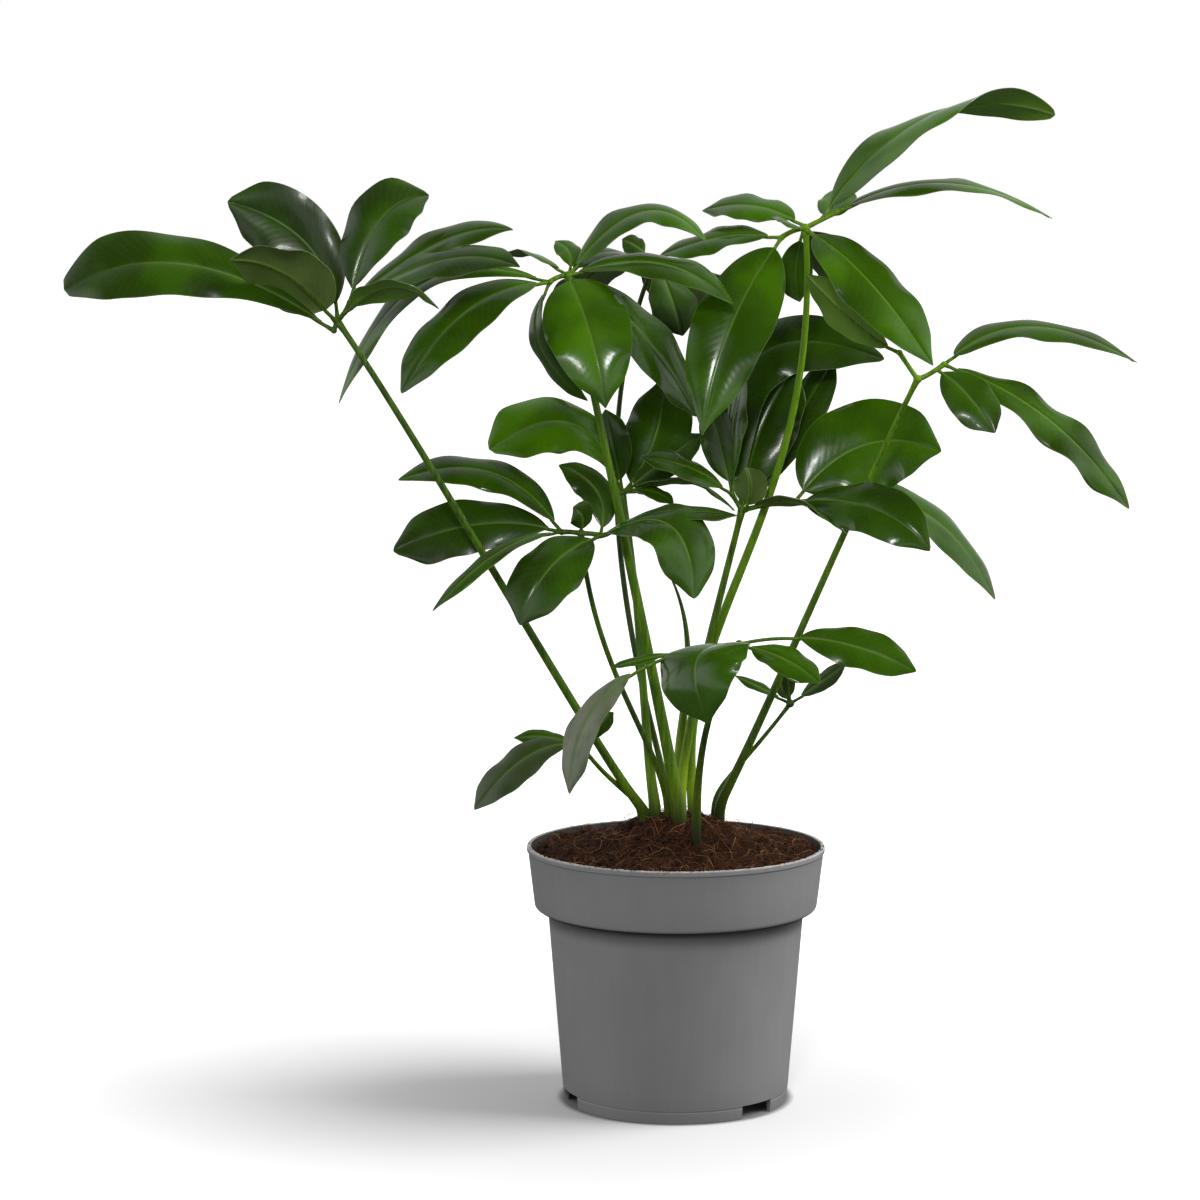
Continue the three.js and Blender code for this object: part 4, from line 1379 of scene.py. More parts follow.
@dataclass
class Blade:
    """One leaflet: a thin closed blade swept along its arching midrib, with its rib and stalk.

    u runs from 0 at the blade's foot to 1 at its tip, and v from -1 to 1 across it. crowding draws the
    columns towards the midrib. lags are how far the waves and the ruffles of one half run ahead of
    those of the other, in turns. The channel over the midrib has its full depth, and the blade its full
    thickness, where half the width is more than channel_full and thin_below.
    """

    plan: LeafletPlan
    hub: np.ndarray
    index: int
    fresh: float
    row_spacing: float = 2.6
    row_counts: tuple[int, int] = (14, 60)
    columns: int = 23
    crowding: float = 1.3
    margin: float = 0.45
    middle: float = 0.65
    thin_below: float = 4.0
    fold_softness: float = 0.05
    lags: Pair = (0.9, 0.4)
    channel_depth: float = 0.45
    channel_width: float = 0.9
    channel_full: float = 8.0
    rib_radii: Pair = (1.15, 0.3)
    rib_reach: float = 0.985
    rib_spacing: float = 4.0
    rib_counts: tuple[int, int] = (10, 32)
    rib_sides: int = 8
    rib_swell: float = 0.35
    rib_swell_reach: float = 2.5
    rib_lead: float = 4.0
    rib_clearance: float = 0.48
    tone_spread: float = 0.12

    def __post_init__(self) -> None:
        """Finds the path, the stalk's share of it and the seeded differences of this leaflet."""
        plan = self.plan
        places = [np.array(p, float) + self.hub for p in (plan.root, plan.mid, plan.tip)]
        self.path = Path(bend_through(places), plan.face, plan.twist)
        self.stalk_share = min(plan.stalk / self.path.length, 0.6)
        self.length = self.path.length * (1.0 - self.stalk_share)
        self.phase = (self.index * 0.37) % 1.0
        self.draw = random.Random(1000 + self.index * 17 + int(self.path.length * 10))
        self.ruffle_phase = self.draw.random()

    def half_width(self, u: np.ndarray) -> np.ndarray:
        """Half the blade's width.

        Args:
            u: places from 0 at its foot to 1 at its tip.

        Returns:
            The half widths in millimetres.
        """
        plan = self.plan
        rise = (u / plan.belly) ** (plan.taper * plan.belly)
        fall = ((1.0 - u) / (1.0 - plan.belly)) ** (plan.taper * (1.0 - plan.belly))
        t = np.clip((u - DRIP_FROM) / (1.0 - DRIP_FROM), 0.0, 1.0)
        drip = 1.0 - DRIP_PINCH * t * t * (3.0 - 2.0 * t)
        least = STALK_HALF_WIDTH + (TIP_HALF_WIDTH - STALK_HALF_WIDTH) * u
        return np.maximum(plan.width / 2.0 * rise * fall * drip, least)

    def _rows(self) -> np.ndarray:
        """Places of the rows from foot to tip, closer together at both ends."""
        count = int(np.clip(round(self.length / self.row_spacing), *self.row_counts))
        t = np.linspace(0.0, 1.0, count + 1)
        return 0.6 * t + 0.4 * (0.5 - 0.5 * np.cos(math.pi * t))

    def _height(self, u: np.ndarray, v: np.ndarray, half: np.ndarray) -> np.ndarray:
        """How high the upper skin lies over the midrib's line.

        Args:
            u: places from foot to tip, one a row.
            v: places from margin to margin, one a column.
            half: half the width, one a row.

        Returns:
            The heights in millimetres.
        """
        plan = self.plan
        size = np.abs(v)
        soft = np.sqrt(v * v + self.fold_softness**2) - self.fold_softness
        wave_lag, ruffle_lag = (np.where(v < 0, 0.0, lag) for lag in self.lags)
        ripple = plan.wave * np.sin(2.0 * math.pi * (plan.waves * u + self.phase + wave_lag)) * v * v
        phase = plan.ruffles * u + self.ruffle_phase + ruffle_lag
        ruffle = plan.ruffle * np.sin(2.0 * math.pi * phase) * size**3 * (u * (1.0 - u) * 4.0)
        fold = math.sin(math.radians(plan.fold))
        rise = soft * fold - plan.cup * v * v + ripple + ruffle
        channel = self.channel_depth * np.minimum(half / self.channel_full, 1.0)
        return rise * half - channel * np.exp(-((v * half / self.channel_width) ** 2))

    def add_blade(self, shape: Shape) -> None:
        """Adds the closed blade.

        Args:
            shape: the mesh to add to.
        """
        reach = self._rows()
        c = np.linspace(-1.0, 1.0, self.columns)
        at, _, up, side = self.path.frames(self.stalk_share + (1.0 - self.stalk_share) * reach)
        u, v = reach[:, None], (np.sign(c) * np.abs(c) ** self.crowding)[None, :]
        half = self.half_width(u)
        across = v * half * math.cos(math.radians(self.plan.fold))
        height = self._height(u, v, half)
        top = at[:, None] + side[:, None] * across[..., None] + up[:, None] * height[..., None]
        thick = self.margin + (self.middle - self.margin) * (1.0 - v**4)
        thick = thick * np.minimum(half / self.thin_below, 1.0).clip(0.6)
        under = top - up[:, None] * thick[..., None]
        faces, slots = slab_faces(len(reach), self.columns)
        tone = self.draw.uniform(-self.tone_spread, self.tone_spread)
        shape.add(
            np.concatenate([top.reshape(-1, 3), under.reshape(-1, 3)]),
            faces,
            slots,
            reach=np.tile(np.repeat(reach, self.columns), 2),
            rib_mm=np.tile((v * half).ravel(), 2),
            run_mm=np.tile(np.repeat(reach, self.columns) * self.length, 2),
            edge_mm=np.tile(((1.0 - np.abs(v)) * half).ravel(), 2),
            fresh=np.clip(self.fresh + self.plan.fresh + tone, -1.0, 1.0),
        )

    def add_rib(self, shape: Shape) -> None:
        """Adds the stalk, which goes on under the blade as its raised midrib.

        Broad leaflets have stouter ribs. The rib is thickest at the hub, where it starts on the path's
        line, and it sinks until it lies just under the blade's channel.

        Args:
            shape: the mesh to add to.
        """
        root, tip = self.rib_radii
        root = root * (0.75 + 0.25 * min(self.plan.width / 40.0, 1.2))
        count = int(np.clip(self.path.length / self.rib_spacing, *self.rib_counts))
        share = np.linspace(0.0, self.rib_reach, count)
        run = share * self.path.length
        u = np.clip((share - self.stalk_share) / (1.0 - self.stalk_share), 0.0, 1.0)
        radii = root + (tip - root) * u**0.8
        radii = radii * (1.0 + self.rib_swell * np.exp(-((run / self.rib_swell_reach) ** 2)))
        lead = self.rib_lead
        sunk = np.clip((run + lead) / (self.plan.stalk + lead), 0.0, 1.0) ** 2
        path = self.path.lowered(share, (radii + self.rib_clearance) * sunk)
        fresh = np.clip(self.fresh + 0.05 + 0.2 * u, 0.0, 1.0)
        even = np.linspace(0.0, 1.0, count)
        tube(shape, path, radii, even, self.rib_sides, fresh=fresh, sheath=0.0)


@dataclass
class Frond:
    """One frond: its petiole, knuckle, short branches, leaflet stalks and leaflets.

    The petiole is wider by flare at the crown and by swell at the knuckle. Up the petiole the tone of
    its foot fades out over foot_reach, and its pale sheath over sheath_reach.
    """

    plan: FrondPlan
    bark: Bark
    sides: int = 20
    ring_spacing: float = 4.0
    bend_ease: float = 9.0
    flare: float = 0.28
    flare_reach: float = 16.0
    swell: float = 0.35
    swell_reach: float = 6.0
    foot_reach: float = 140.0
    sheath_reach: float = 34.0
    knuckle: float = 2.73
    arm_radius: float = 1.5
    arm_swell: float = 0.2
    arm_end: float = 1.95
    arm_sides: int = 12
    arm_rings: int = 9

    def __post_init__(self) -> None:
        """Places the knuckle and the leaflets."""
        self.hub = np.array(self.plan.petiole[-1], float)
        self.blades = [
            Blade(leaflet, self.hub, index, self.plan.fresh)
            for index, leaflet in enumerate(self.plan.leaflets)
        ]

    def petiole_path(self) -> Path:
        """The petiole's middle line, from its straight foot in the soil up to the knuckle."""
        curve = bend_through(self.plan.petiole)
        foot = np.array([*curve[0][:2], ROOT_END_Z])
        line = foot + (curve[0] - foot) * np.linspace(0.0, 1.0, 60, endpoint=False)[:, None]
        return Path(np.concatenate([line, curve]), STEM_FACE, smooth=self.bend_ease)

    @staticmethod
    def _climb(path: Path, share: np.ndarray) -> tuple[float, np.ndarray]:
        """The share of a petiole that is in the soil, and how far up the rest each place is."""
        below = (CROWN_Z - ROOT_END_Z) / path.length
        return below, np.clip((share - below) / (1.0 - below), 0.0, 1.0)

    def _petiole_radii(self, path: Path, share: np.ndarray) -> np.ndarray:
        """The petiole's radius at shares of its length."""
        foot, hub = self.plan.radii
        below, climb = self._climb(path, share)
        radii = foot + (hub - foot) * climb
        above = (share - below) * path.length
        radii = radii * (1.0 + self.flare * np.exp(-np.clip(above, 0.0, None) / self.flare_reach))
        from_hub = (1.0 - share) * path.length / self.swell_reach
        return radii * (1.0 + self.swell * np.exp(-(from_hub**2)))

    def add_stems(self, shape: Shape) -> None:
        """Adds the petiole, knuckle, branches, stalks and midribs.

        Args:
            shape: the mesh to add to.
        """
        path = self.petiole_path()
        share = np.linspace(0.0, 1.0, int(path.length / self.ring_spacing))
        plan = self.plan
        above = np.clip(path.frames(share)[0][:, 2] - CROWN_Z, 0, None)
        radii = self._petiole_radii(path, share)
        low = np.exp(-(above / self.foot_reach))
        fresh = plan.fresh + plan.stem_fresh * (1.0 - low) + plan.foot_fresh * low
        sheath = plan.sheath * np.exp(-((above / self.sheath_reach) ** 2))
        tube(shape, path, radii, share, self.sides, fresh=np.clip(fresh, 0, 1), sheath=sheath)
        tone = {"fresh": min(plan.fresh + plan.stem_fresh, 1.0), "sheath": 0.0}
        if self.blades:
            bead(shape, self.hub, self.knuckle, **tone)
        for arm in plan.arms:
            places = [self.hub] + [np.array(p, float) + self.hub for p in arm]
            branch = Path(bend_through(places), STEM_FACE)
            share = np.linspace(0.0, 1.0, self.arm_rings)
            radii = self.arm_radius * (1.0 + self.arm_swell * (2.0 * share - 1.0) ** 2)
            tube(shape, branch, radii, share, self.arm_sides, **tone)
            bead(shape, places[-1], self.arm_end, **tone)
        for blade in self.blades:
            blade.add_rib(shape)

    def build(self) -> list[bpy.types.Object]:
        """Makes the pieces that stand for the frond's node.

        Returns:
            The stems, and the leaflets where it has any.
        """
        name = self.plan.name
        stems = Shape()
        self.add_stems(stems)
        made = [stems.piece(name + "_stems", [self.bark.skin])]
        if self.blades:
            leaflets = Shape()
            for blade in self.blades:
                blade.add_blade(leaflets)
            made.append(leaflets.piece(name + "_leaflets", [self.bark.top, self.bark.under]))
        return made


@dataclass
class NewLeaf(Frond):
    """The youngest leaf, still rolled: a pointed spear whose free edge winds up round it.

    overlap is how far the roll draws in round one turn, winding the turns of its edge up the spear,
    tones its freshness at the foot and at the tip, and sheath_fade how fast the sheath ends up it.
    """

    sides: int = 28
    ring_spacing: float = 2.5
    overlap: float = 0.26
    winding: float = 0.35
    belly: float = 0.10
    tip_length: float = 1.5
    tones: Pair = (0.95, 0.2)
    sheath_fade: float = 2.4

    def add_stems(self, shape: Shape) -> None:
        """Adds the spear.

        Args:
            shape: the mesh to add to.
        """
        path = self.petiole_path()
        share = np.linspace(0.0, 1.0, int(path.length / self.ring_spacing))
        at, along, up, side = path.frames(share)
        foot, tip = self.plan.radii
        _, climb = self._climb(path, share)
        radii = foot + (tip - foot) * climb**1.5
        radii = radii * (1.0 + self.belly * np.sin(climb * math.pi))
        angle = turns(self.sides)
        wound = angle[None, :] + 2.0 * math.pi * self.winding * climb[:, None]
        shrink = 1.0 - self.overlap * (angle / (2.0 * math.pi)) ** 2
        reach = radii[:, None] * shrink[None, :]
        rings = at[:, None] + hoop(side, up, wound) * reach[..., None]
        caps = np.stack([at[0], at[-1] + along[-1] * self.tip_length])
        fresh = self.tones[0] + (self.tones[1] - self.tones[0]) * climb
        sheath = np.clip(1.0 - climb * self.sheath_fade, 0.0, 1.0)
        shape.add_rings(rings, caps, backward=True, fresh=fresh, sheath=sheath)


# ------------------------------------------------------------------ pot


@dataclass
class NurseryPot:
    """The moulded pot: a tapered wall under a stepped collar with a lip, on a pad and a foot ring.

    body_top and collar_bottom are a radius and a height each. A point of the mesh counts as inside when
    it lies more than skin_depth behind the outer face.
    """

    rim_radius: float = 95.0
    height: float = 164.0
    foot_radius: float = 71.5
    wall: float = 2.0
    body_top: Pair = (81.5, 121.0)
    collar_bottom: Pair = (90.4, 126.5)
    lip_height: float = 4.0
    lip_step: float = 0.8
    edge_round: float = 0.6
    ring_height: float = 8.0
    pad_radius: float = 42.0
    seam_z: float = 7.5
    seam_depth: float = 0.3
    drains: int = 8
    drain_radius: float = 4.5
    notch_width: float = 26.0
    notch_height: float = 8.5
    notch_reach: float = 14.0
    notch_angles: tuple[float, ...] = (77.0, 199.0, 315.0)
    segments: int = 168
    longest_run: float = 9.0
    skin_depth: float = 1.4
    sharp: float = 50.0

    def _wall_radius(self, z: float | np.ndarray) -> float | np.ndarray:
        """The outside radius of the tapered wall at a height."""
        share = z / self.body_top[1]
        return self.foot_radius + (self.body_top[0] - self.foot_radius) * share

    def _outline(self) -> list[Triple]:
        """The closed half section: radius, height and how much its corner is rounded."""
        channel = self.ring_height + self.wall
        thin = self.wall
        seam = self._wall_radius(self.seam_z)
        collar, top = self.collar_bottom, self.body_top
        return [
            (0.0, 0.0, 0.0),
            (self.pad_radius, 0.0, 0.8),
            (self.pad_radius + thin, self.ring_height, 1.0),
            (self.foot_radius - 2 * thin, self.ring_height, 1.0),
            (self.foot_radius - thin, 0.0, 0.4),
            (self.foot_radius, 0.0, 0.5),
            (seam - 0.1, self.seam_z - 0.9, 0.2),
            (seam - self.seam_depth, self.seam_z, 0.1),
            (seam + 0.1, self.seam_z + 0.5, 0.3),
            (top[0], top[1], 0.8),
            (collar[0] - 2.5 * thin, top[1] + 2 * self.edge_round, 1.2),
            (collar[0] - 0.4, collar[1] - 1.6, 1.6),
            (self.rim_radius - self.lip_step, self.height - self.lip_height, 0.3),
            (self.rim_radius, self.height - self.lip_height + self.edge_round, 0.5),
            (self.rim_radius, self.height, 0.9),
            (self.rim_radius - thin - self.edge_round, self.height, 0.8),
            (collar[0] - thin, collar[1] + thin, 1.2),
            (top[0] - thin, top[1] + thin, 1.2),
            (self.foot_radius - thin + self.edge_round, channel, 1.0),
            (self.pad_radius - thin / 2, channel, 1.0),
            (self.pad_radius - thin, thin, 0.6),
            (0.0, thin, 0.0),
        ]

    def _rounded(self) -> np.ndarray:
        """The half section with its corners rounded and its long runs divided."""
        corners = self._outline()
        line: list[np.ndarray] = []
        for n, (radius, z, size) in enumerate(corners):
            here = np.array([radius, z])
            if size <= 0.0:
                line.append(here)
                continue
            before = np.array(corners[n - 1][:2]) - here
            after = np.array(corners[n + 1][:2]) - here
            reach = min(size, 0.45 * float(np.hypot(*before)), 0.45 * float(np.hypot(*after)))
            start = here + before / np.hypot(*before) * reach
            end = here + after / np.hypot(*after) * reach
            for t in np.linspace(0.0, 1.0, 5):
                line.append((1 - t) ** 2 * start + 2 * t * (1 - t) * here + t * t * end)
        made = [line[0]]
        for point in line[1:]:
            parts = max(1, int(np.hypot(*(point - made[-1])) // self.longest_run))
            origin = made[-1]
            made.extend(origin + (point - origin) * (i / parts) for i in range(1, parts + 1))
        return np.array(made)

    def _turned(self) -> bpy.types.Object:
        """The closed pot turned from its half section, before its holes are cut."""
        line = self._rounded()
        ends = np.array([[0.0, 0.0, line[0][1]], [0.0, 0.0, line[-1][1]]])
        shape = Shape()
        shape.add_rings(lathe_rings(line[1:-1], self.segments), ends)
        finish = PotPlastic(rim_z=self.height * MM).material()
        return shape.piece("nursery_pot", [finish], sharp=self.sharp)

    def _cutters(self) -> list[bpy.types.Object]:
        """The drain holes and the notches of the foot ring, as solids to cut away."""
        made = []
        ring = (self.pad_radius + self.foot_radius - 2 * self.wall) / 2
        for n in range(self.drains):
            angle = 2.0 * math.pi * (n + 0.5) / self.drains
            x, y = ring * math.cos(angle) * MM, ring * math.sin(angle) * MM
            bpy.ops.mesh.primitive_cylinder_add(
                vertices=40,
                radius=self.drain_radius * MM,
                depth=3 * self.wall * MM,
                location=(x, y, (self.ring_height + 1.0) * MM),
            )
            made.append(bpy.context.object)
        for degrees in self.notch_angles:
            turn = Matrix.Rotation(math.radians(degrees), 4, "Z")
            bpy.ops.mesh.primitive_cube_add(size=1.0)
            cutter = bpy.context.object
            box = (self.notch_reach * MM, self.notch_width * MM, 2 * self.notch_height * MM, 1.0)
            place = Matrix.Translation((self.foot_radius * MM, 0.0, 0.0))
            cutter.matrix_world = turn @ place @ Matrix.Diagonal(box)
            made.append(cutter)
        return made

    def build(self) -> bpy.types.Object:
        """Makes the pot.

        Returns:
            The piece.
        """
        pot = self._turned()
        for cutter in self._cutters():
            cut = pot.modifiers.new("cut", "BOOLEAN")
            cut.operation, cut.object, cut.solver = "DIFFERENCE", cutter, "EXACT"
            bpy.context.view_layer.update()
            bpy.context.view_layer.objects.active = pot
            bpy.ops.object.modifier_apply(modifier=cut.name)
            bpy.data.objects.remove(cutter)
        mesh = pot.data
        mesh.polygons.foreach_set("use_smooth", np.ones(len(mesh.polygons), bool))
        mesh.set_sharp_from_angle(angle=math.radians(self.sharp))
        self._mark_inside(mesh)
        return pot

    def _mark_inside(self, mesh: bpy.types.Mesh) -> None:
        """Marks the points of the inner faces, which the soil has stained."""
        places = np.zeros(len(mesh.vertices) * 3)
        mesh.vertices.foreach_get("co", places)
        places = places.reshape(-1, 3) / MM
        radius, z = np.hypot(places[:, 0], places[:, 1]), places[:, 2]
        (low_radius, low_z), shoulder_z = self.collar_bottom, self.body_top[1] + 1.5
        share = np.clip((z - low_z) / (self.height - low_z), 0.0, 1.0)
        collar = low_radius + (self.rim_radius - low_radius) * share
        outer = np.where(z > shoulder_z, collar, self._wall_radius(z))
        inside = (radius < outer - self.skin_depth) & (z > 1.0) & (z < self.height - 0.4)
        layer = mesh.attributes.new("inside", "FLOAT", "POINT")
        layer.data.foreach_set("value", inside.astype(np.float32))


# ------------------------------------------------------------------ soil


@dataclass
class SoilMound:
    """The potting soil: one closed body, mounded at the crown, with loose crumbs and coir fibres.

    fill_depth is how far its edge lies under the rim. The bank is the soil heaped against the wall,
    and bank_side the bearing in radians where it is highest. grains are layers of noise: cycles to the
    millimetre, the slice of the noise and the height. rim_crumb_bearing is the mean and the spread of
    the bearings of the specks on the rim, in degrees.
    """

    pot: NurseryPot
    fill_depth: float = 6.0
    gap: float = 0.3
    edge_drop: float = 1.2
    mound_height: float = 26.0
    mound_spread: float = 50.0
    bank_height: float = 4.5
    bank_side: float = -0.9
    lump: float = 1.6
    grains: tuple[Triple, ...] = ((0.11, 3.1, 1.2), (0.31, 7.7, 1.1), (0.8, 1.9, 0.55))
    rings: int = 60
    segments: int = 200
    settle_rings: float = 2.0
    spread_radius: float = 88.0
    crumb_count: int = 620
    rim_crumb_count: int = 170
    rim_crumb_bearing: Pair = (-88.0, 42.0)
    fibre_count: int = 1150
    fibre_steps: int = 9
    fibre_radii: Pair = (0.10, 0.22)
    fibre_limit: float = 90.5

    def smooth_height(self, x: float, y: float) -> float:
        """The height of the mound without its grain, in millimetres."""
        radius = math.hypot(x, y)
        mound = self.mound_height * math.exp(-((radius / self.mound_spread) ** 2))
        lumps = math.sin(0.21 * x + 1.3) * math.cos(0.19 * y) + 0.6 * math.sin(0.37 * x - 0.33 * y)
        toward = (x * math.cos(self.bank_side) + y * math.sin(self.bank_side)) / max(radius, 1.0)
        bank = self.bank_height * (radius / self.pot.rim_radius) ** 6 * (0.55 + 0.45 * toward)
        return self.pot.height - self.fill_depth + mound + bank + self.lump * lumps

    def surface_height(self, x: float, y: float) -> float:
        """The height of the crumbly surface, in millimetres."""
        level = self.smooth_height(x, y)
        for scale, layer, height in self.grains:
            level += height * noise.noise(Vector((x * scale, y * scale, layer)))
        return level

    def _side(self) -> list[Pair]:
        """The hidden side of the soil against the pot's wall, from the bottom up."""
        pot, wall = self.pot, self.pot.wall + self.gap
        channel = pot.ring_height + wall
        (collar, collar_z), (top, top_z) = pot.collar_bottom, pot.body_top
        edge_z = pot.height - self.fill_depth
        spread = (pot.rim_radius - collar) * (edge_z - collar_z) / (pot.height - collar_z)
        return [
            (pot.pad_radius - pot.wall - 2 * self.gap, wall),
            (pot.pad_radius - pot.wall / 2 - self.gap, channel),
            (pot.foot_radius - wall, channel),
            (top - wall, top_z + pot.wall),
            (collar - wall - self.gap, collar_z + pot.wall + 2 * self.gap),
            (collar - wall + spread - 4 * self.gap, edge_z - self.edge_drop),
        ]

    def _body(self, finish: bpy.types.Material) -> bpy.types.Object:
        """The closed body of the soil."""
        side = self._side()
        edge, low = side[-1]
        angle = turns(self.segments)
        rows = [[(r * math.cos(a), r * math.sin(a), z) for a in angle] for r, z in side]
        for i in range(self.rings):
            radius = edge * (1.0 - (i + 0.35) / self.rings)
            settled = min(1.0, (i + 1) / self.settle_rings)
            ring = []
            for a in angle:
                x, y = radius * math.cos(a), radius * math.sin(a)
                ring.append((x, y, low + (self.surface_height(x, y) - low) * settled))
            rows.append(ring)
        ends = np.array([[0.0, 0.0, side[0][1]], [0.0, 0.0, self.surface_height(0.0, 0.0)]])
        shape = Shape()
        shape.add_rings(np.array(rows), ends)
        return shape.piece("soil_body", [finish])

    def _spot(self, draw: random.Random, inset: float = 0.0) -> Pair:
        """A random place on the soil, evenly spread over its disc less an inset."""
        radius = (self.spread_radius - inset) * math.sqrt(draw.random())
        angle = draw.uniform(0.0, 2.0 * math.pi)
        return radius * math.cos(angle), radius * math.sin(angle)

    def _crumbs(self, finish: bpy.types.Material) -> bpy.types.Object:
        """Loose crumbs lying on the soil, and specks of it on the rim."""
        draw = random.Random(41)
        shape = Shape()
        for _ in range(self.crumb_count):
            x, y = self._spot(draw)
            size = draw.uniform(0.5, 1.3) if draw.random() < 0.75 else draw.uniform(1.3, 2.6)
            lump(shape, draw, np.array([x, y, self.surface_height(x, y) + size * 0.2]), size)
        lip = self.pot.rim_radius - self.pot.wall / 2
        for _ in range(self.rim_crumb_count):
            angle = math.radians(draw.gauss(*self.rim_crumb_bearing))
            size = draw.uniform(0.18, 0.55)
            radius = lip + draw.uniform(-0.7, 0.5)
            x, y = radius * math.cos(angle), radius * math.sin(angle)
            lump(shape, draw, np.array([x, y, self.pot.height + size * 0.4]), size)
        return shape.piece("soil_crumbs", [finish])

    def _fibres(self) -> bpy.types.Object:
        """Coir fibres: short curved strands, most lying flat and some standing up."""
        draw = random.Random(97)
        shape = Shape()
        for _ in range(self.fibre_count):
            x, y = self._spot(draw, inset=2.0)
            heading = draw.uniform(0.0, 2.0 * math.pi)
            length = draw.uniform(6.0, 16.0) if draw.random() < 0.6 else draw.uniform(14.0, 34.0)
            turn = draw.gauss(0.0, 1.6)
            arch = abs(draw.gauss(0.0, 1.4))
            arch += draw.uniform(1.5, 5.0) if draw.random() < 0.12 else 0.0
            lift = draw.uniform(0.05, 0.7)
            stride = length / self.fibre_steps
            places = []
            for n in range(self.fibre_steps + 1):
                t = n / self.fibre_steps
                level = self.surface_height(x, y) + lift + arch * math.sin(math.pi * t)
                places.append((x, y, level))
                bearing = heading + turn * t
                x += stride * math.cos(bearing)
                y += stride * math.sin(bearing)
                if math.hypot(x, y) > self.fibre_limit:
                    heading += 1.7
            radius = draw.uniform(*self.fibre_radii)
            strand(shape, np.array(places), radius, fresh=draw.random() ** 1.7)
        return shape.piece("coir_fibres", [CoirFibre().material()])

    def build(self) -> list[bpy.types.Object]:
        """Makes the pieces that stand for the soil.

        Returns:
            The body, the crumbs and the fibres.
        """
        finish = DampSoil().material()
        return [self._body(finish), self._crumbs(finish), self._fibres()]


# ------------------------------------------------------------------ studio


@dataclass(frozen=True)
class Softbox:
    """A square studio light."""

    name: str
    place: Triple
    aim: Triple
    size: float
    watts: float
    mirrored: bool = True

    def build(self) -> None:
        """Hangs the light, turns it to its aim and settles whether glossy surfaces mirror it."""
        lamp = bpy.data.lights.new(self.name, "AREA")
        lamp.shape = "SQUARE"
        lamp.size = self.size
        lamp.energy = self.watts
        thing = bpy.data.objects.new(self.name, lamp)
        bpy.context.scene.collection.objects.link(thing)
        thing.visible_glossy = self.mirrored
        thing.location = self.place
        beam = Vector(self.aim) - Vector(self.place)
        thing.rotation_euler = beam.to_track_quat("-Z", "Y").to_euler()


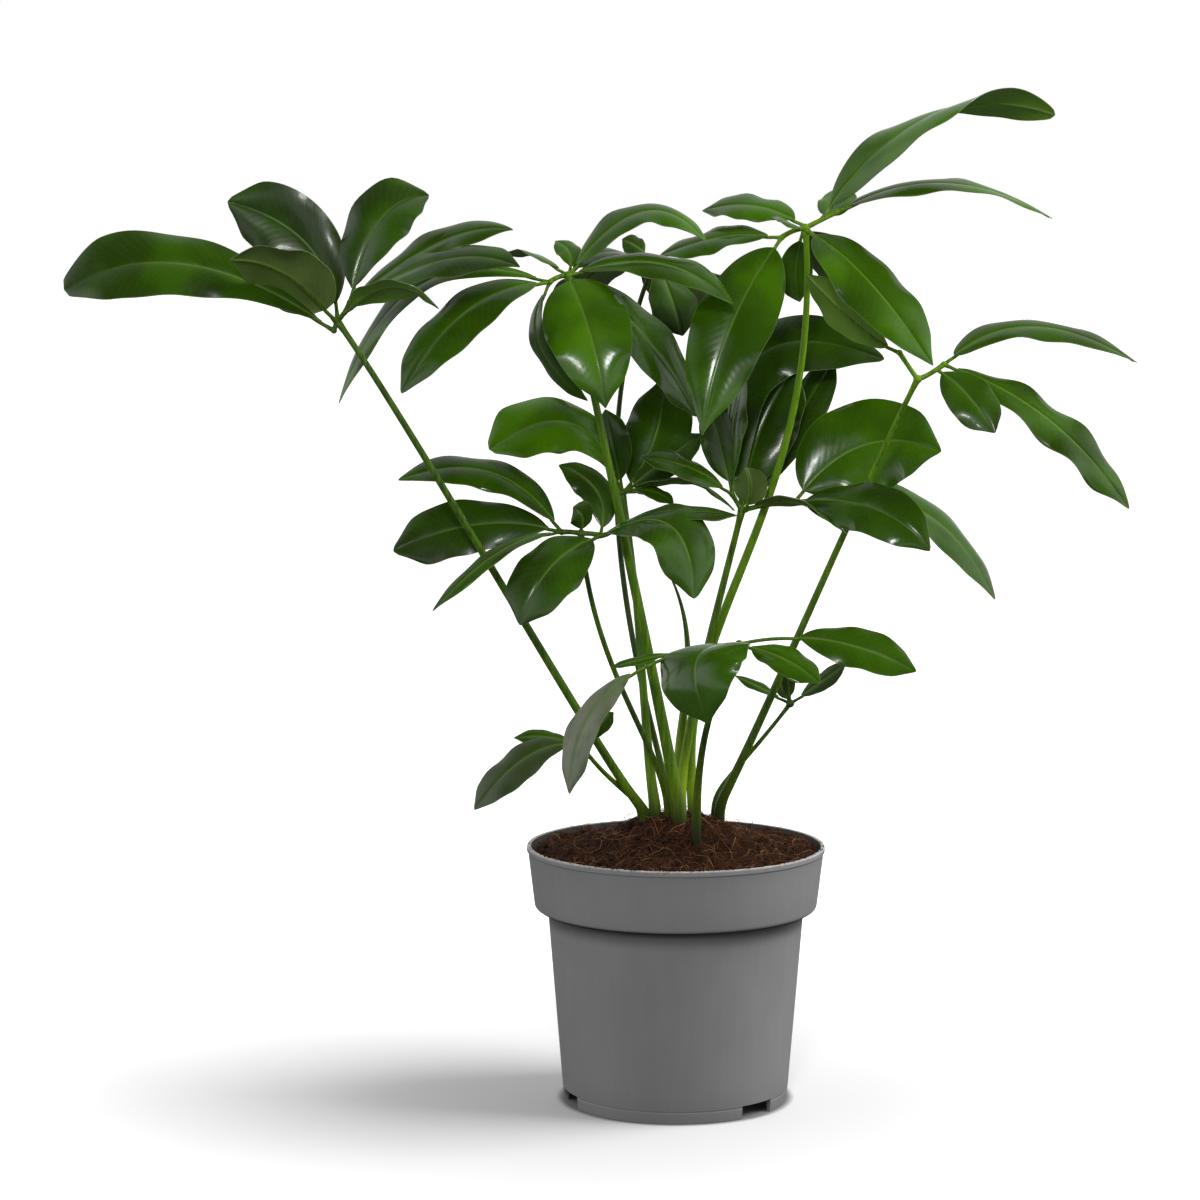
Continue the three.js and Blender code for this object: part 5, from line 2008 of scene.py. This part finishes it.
@dataclass
class Studio:
    """The camera, the pale floor, the surroundings and the softboxes.

    bright_back, bright_left and bright_right are how strongly the surroundings shine from there, and
    dark_front and dark_below how much is left in front and below.
    """

    camera_place: Triple = (-0.04835, -2.13605, 0.55235)
    camera_tilt: float = 83.812
    lens: float = 101.77
    sensor: float = 36.0
    floor_radius: float = 60.0
    floor_sides: int = 128
    bright_back: float = 0.5
    bright_left: float = 1.5
    bright_right: float = 1.0
    dark_front: float = 0.05
    dark_below: float = 0.15
    softboxes: tuple[Softbox, ...] = (
        Softbox("key_softbox", (1.9, -0.05, 1.95), (0.0, 0.0, 0.25), 1.7, 80.0, mirrored=False),
        Softbox("front_softbox", (-0.25, -2.6, 1.65), (0.0, 0.0, 0.35), 0.4, 24.0),
    )

    def _camera(self) -> None:
        """Sets up the camera."""
        data = bpy.data.cameras.new("camera")
        data.sensor_width = self.sensor
        data.lens = self.lens
        camera = bpy.data.objects.new("camera", data)
        camera.location = self.camera_place
        camera.rotation_euler = (math.radians(self.camera_tilt), 0.0, 0.0)
        bpy.context.scene.collection.objects.link(camera)
        bpy.context.scene.camera = camera

    def _floor(self) -> None:
        """Lays the round floor."""
        bpy.ops.mesh.primitive_circle_add(
            vertices=self.floor_sides, radius=self.floor_radius, fill_type="NGON"
        )
        floor = bpy.context.object
        floor.name = "studio_floor"
        floor.data.materials.append(PaleFloor().material())
        floor.visible_diffuse = False
        floor.visible_glossy = False

    def _surroundings(self) -> None:
        """Lights the scene from all round: white at the horizon, behind and at the sides, else dark."""
        bench = Bench("studio_surroundings", surroundings=True)
        direction = bench.add("ShaderNodeTexCoord", None, None, "Generated")
        x, y, z = (
            bench.add("ShaderNodeSeparateXYZ", None, {"Vector": direction}, axis) for axis in "XYZ"
        )
        back = y.step(-0.2, 0.8) * self.bright_back
        left, right = x.step(-0.5, -0.95) * self.bright_left, x.step(0.5, 0.95) * self.bright_right
        level = back.at_least(left + right) + self.dark_front
        below = z.step(0.0, -0.08)
        level = level * (1.0 - below) + below * self.dark_below
        horizon = z.step(-0.06, -0.02) * z.step(0.3, 0.18)
        glow = {"Strength": level.at_least(horizon), "Color": rgb(1.0, 1.0, 1.0)}
        light = bench.add("ShaderNodeBackground", None, glow)
        bench.add("ShaderNodeOutputWorld", None, {"Surface": light})
        bpy.context.scene.world = bench.owner
        bpy.context.scene.view_settings.view_transform = "Standard"

    def build(self) -> None:
        """Sets up the whole studio."""
        self._camera()
        self._floor()
        self._surroundings()
        for softbox in self.softboxes:
            softbox.build()


# ------------------------------------------------------------------ main


def settle(pieces: Sequence[bpy.types.Object], node: str, slot: Slot) -> None:
    """Fixes pieces to the frame.

    Args:
        pieces: the pieces that stand for one CAD node.
        node: the node's name.
        slot: not used.
    """
    for piece in pieces:
        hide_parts(node)
        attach(piece, BODY)
        LOG.info("%s: %d faces for %s", piece.name, len(piece.data.polygons), node)


def main() -> None:
    """Builds every sub-assembly and fixes it to the frame."""
    logging.basicConfig(level=logging.INFO, format="%(name)s: %(message)s")
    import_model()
    Studio().build()
    pot = NurseryPot()
    settle([pot.build()], "pot", Slot.POT)
    settle(SoilMound(pot).build(), "soil", Slot.SOIL)
    bark = Bark(LeafTop().material(), LeafUnder().material(), StemSkin().material())
    for plan in FRONDS:
        frond = Frond(plan, bark) if plan.leaflets else NewLeaf(plan, bark)
        settle(frond.build(), plan.name, Slot.LEAF)


if __name__ == "__main__":
    main()
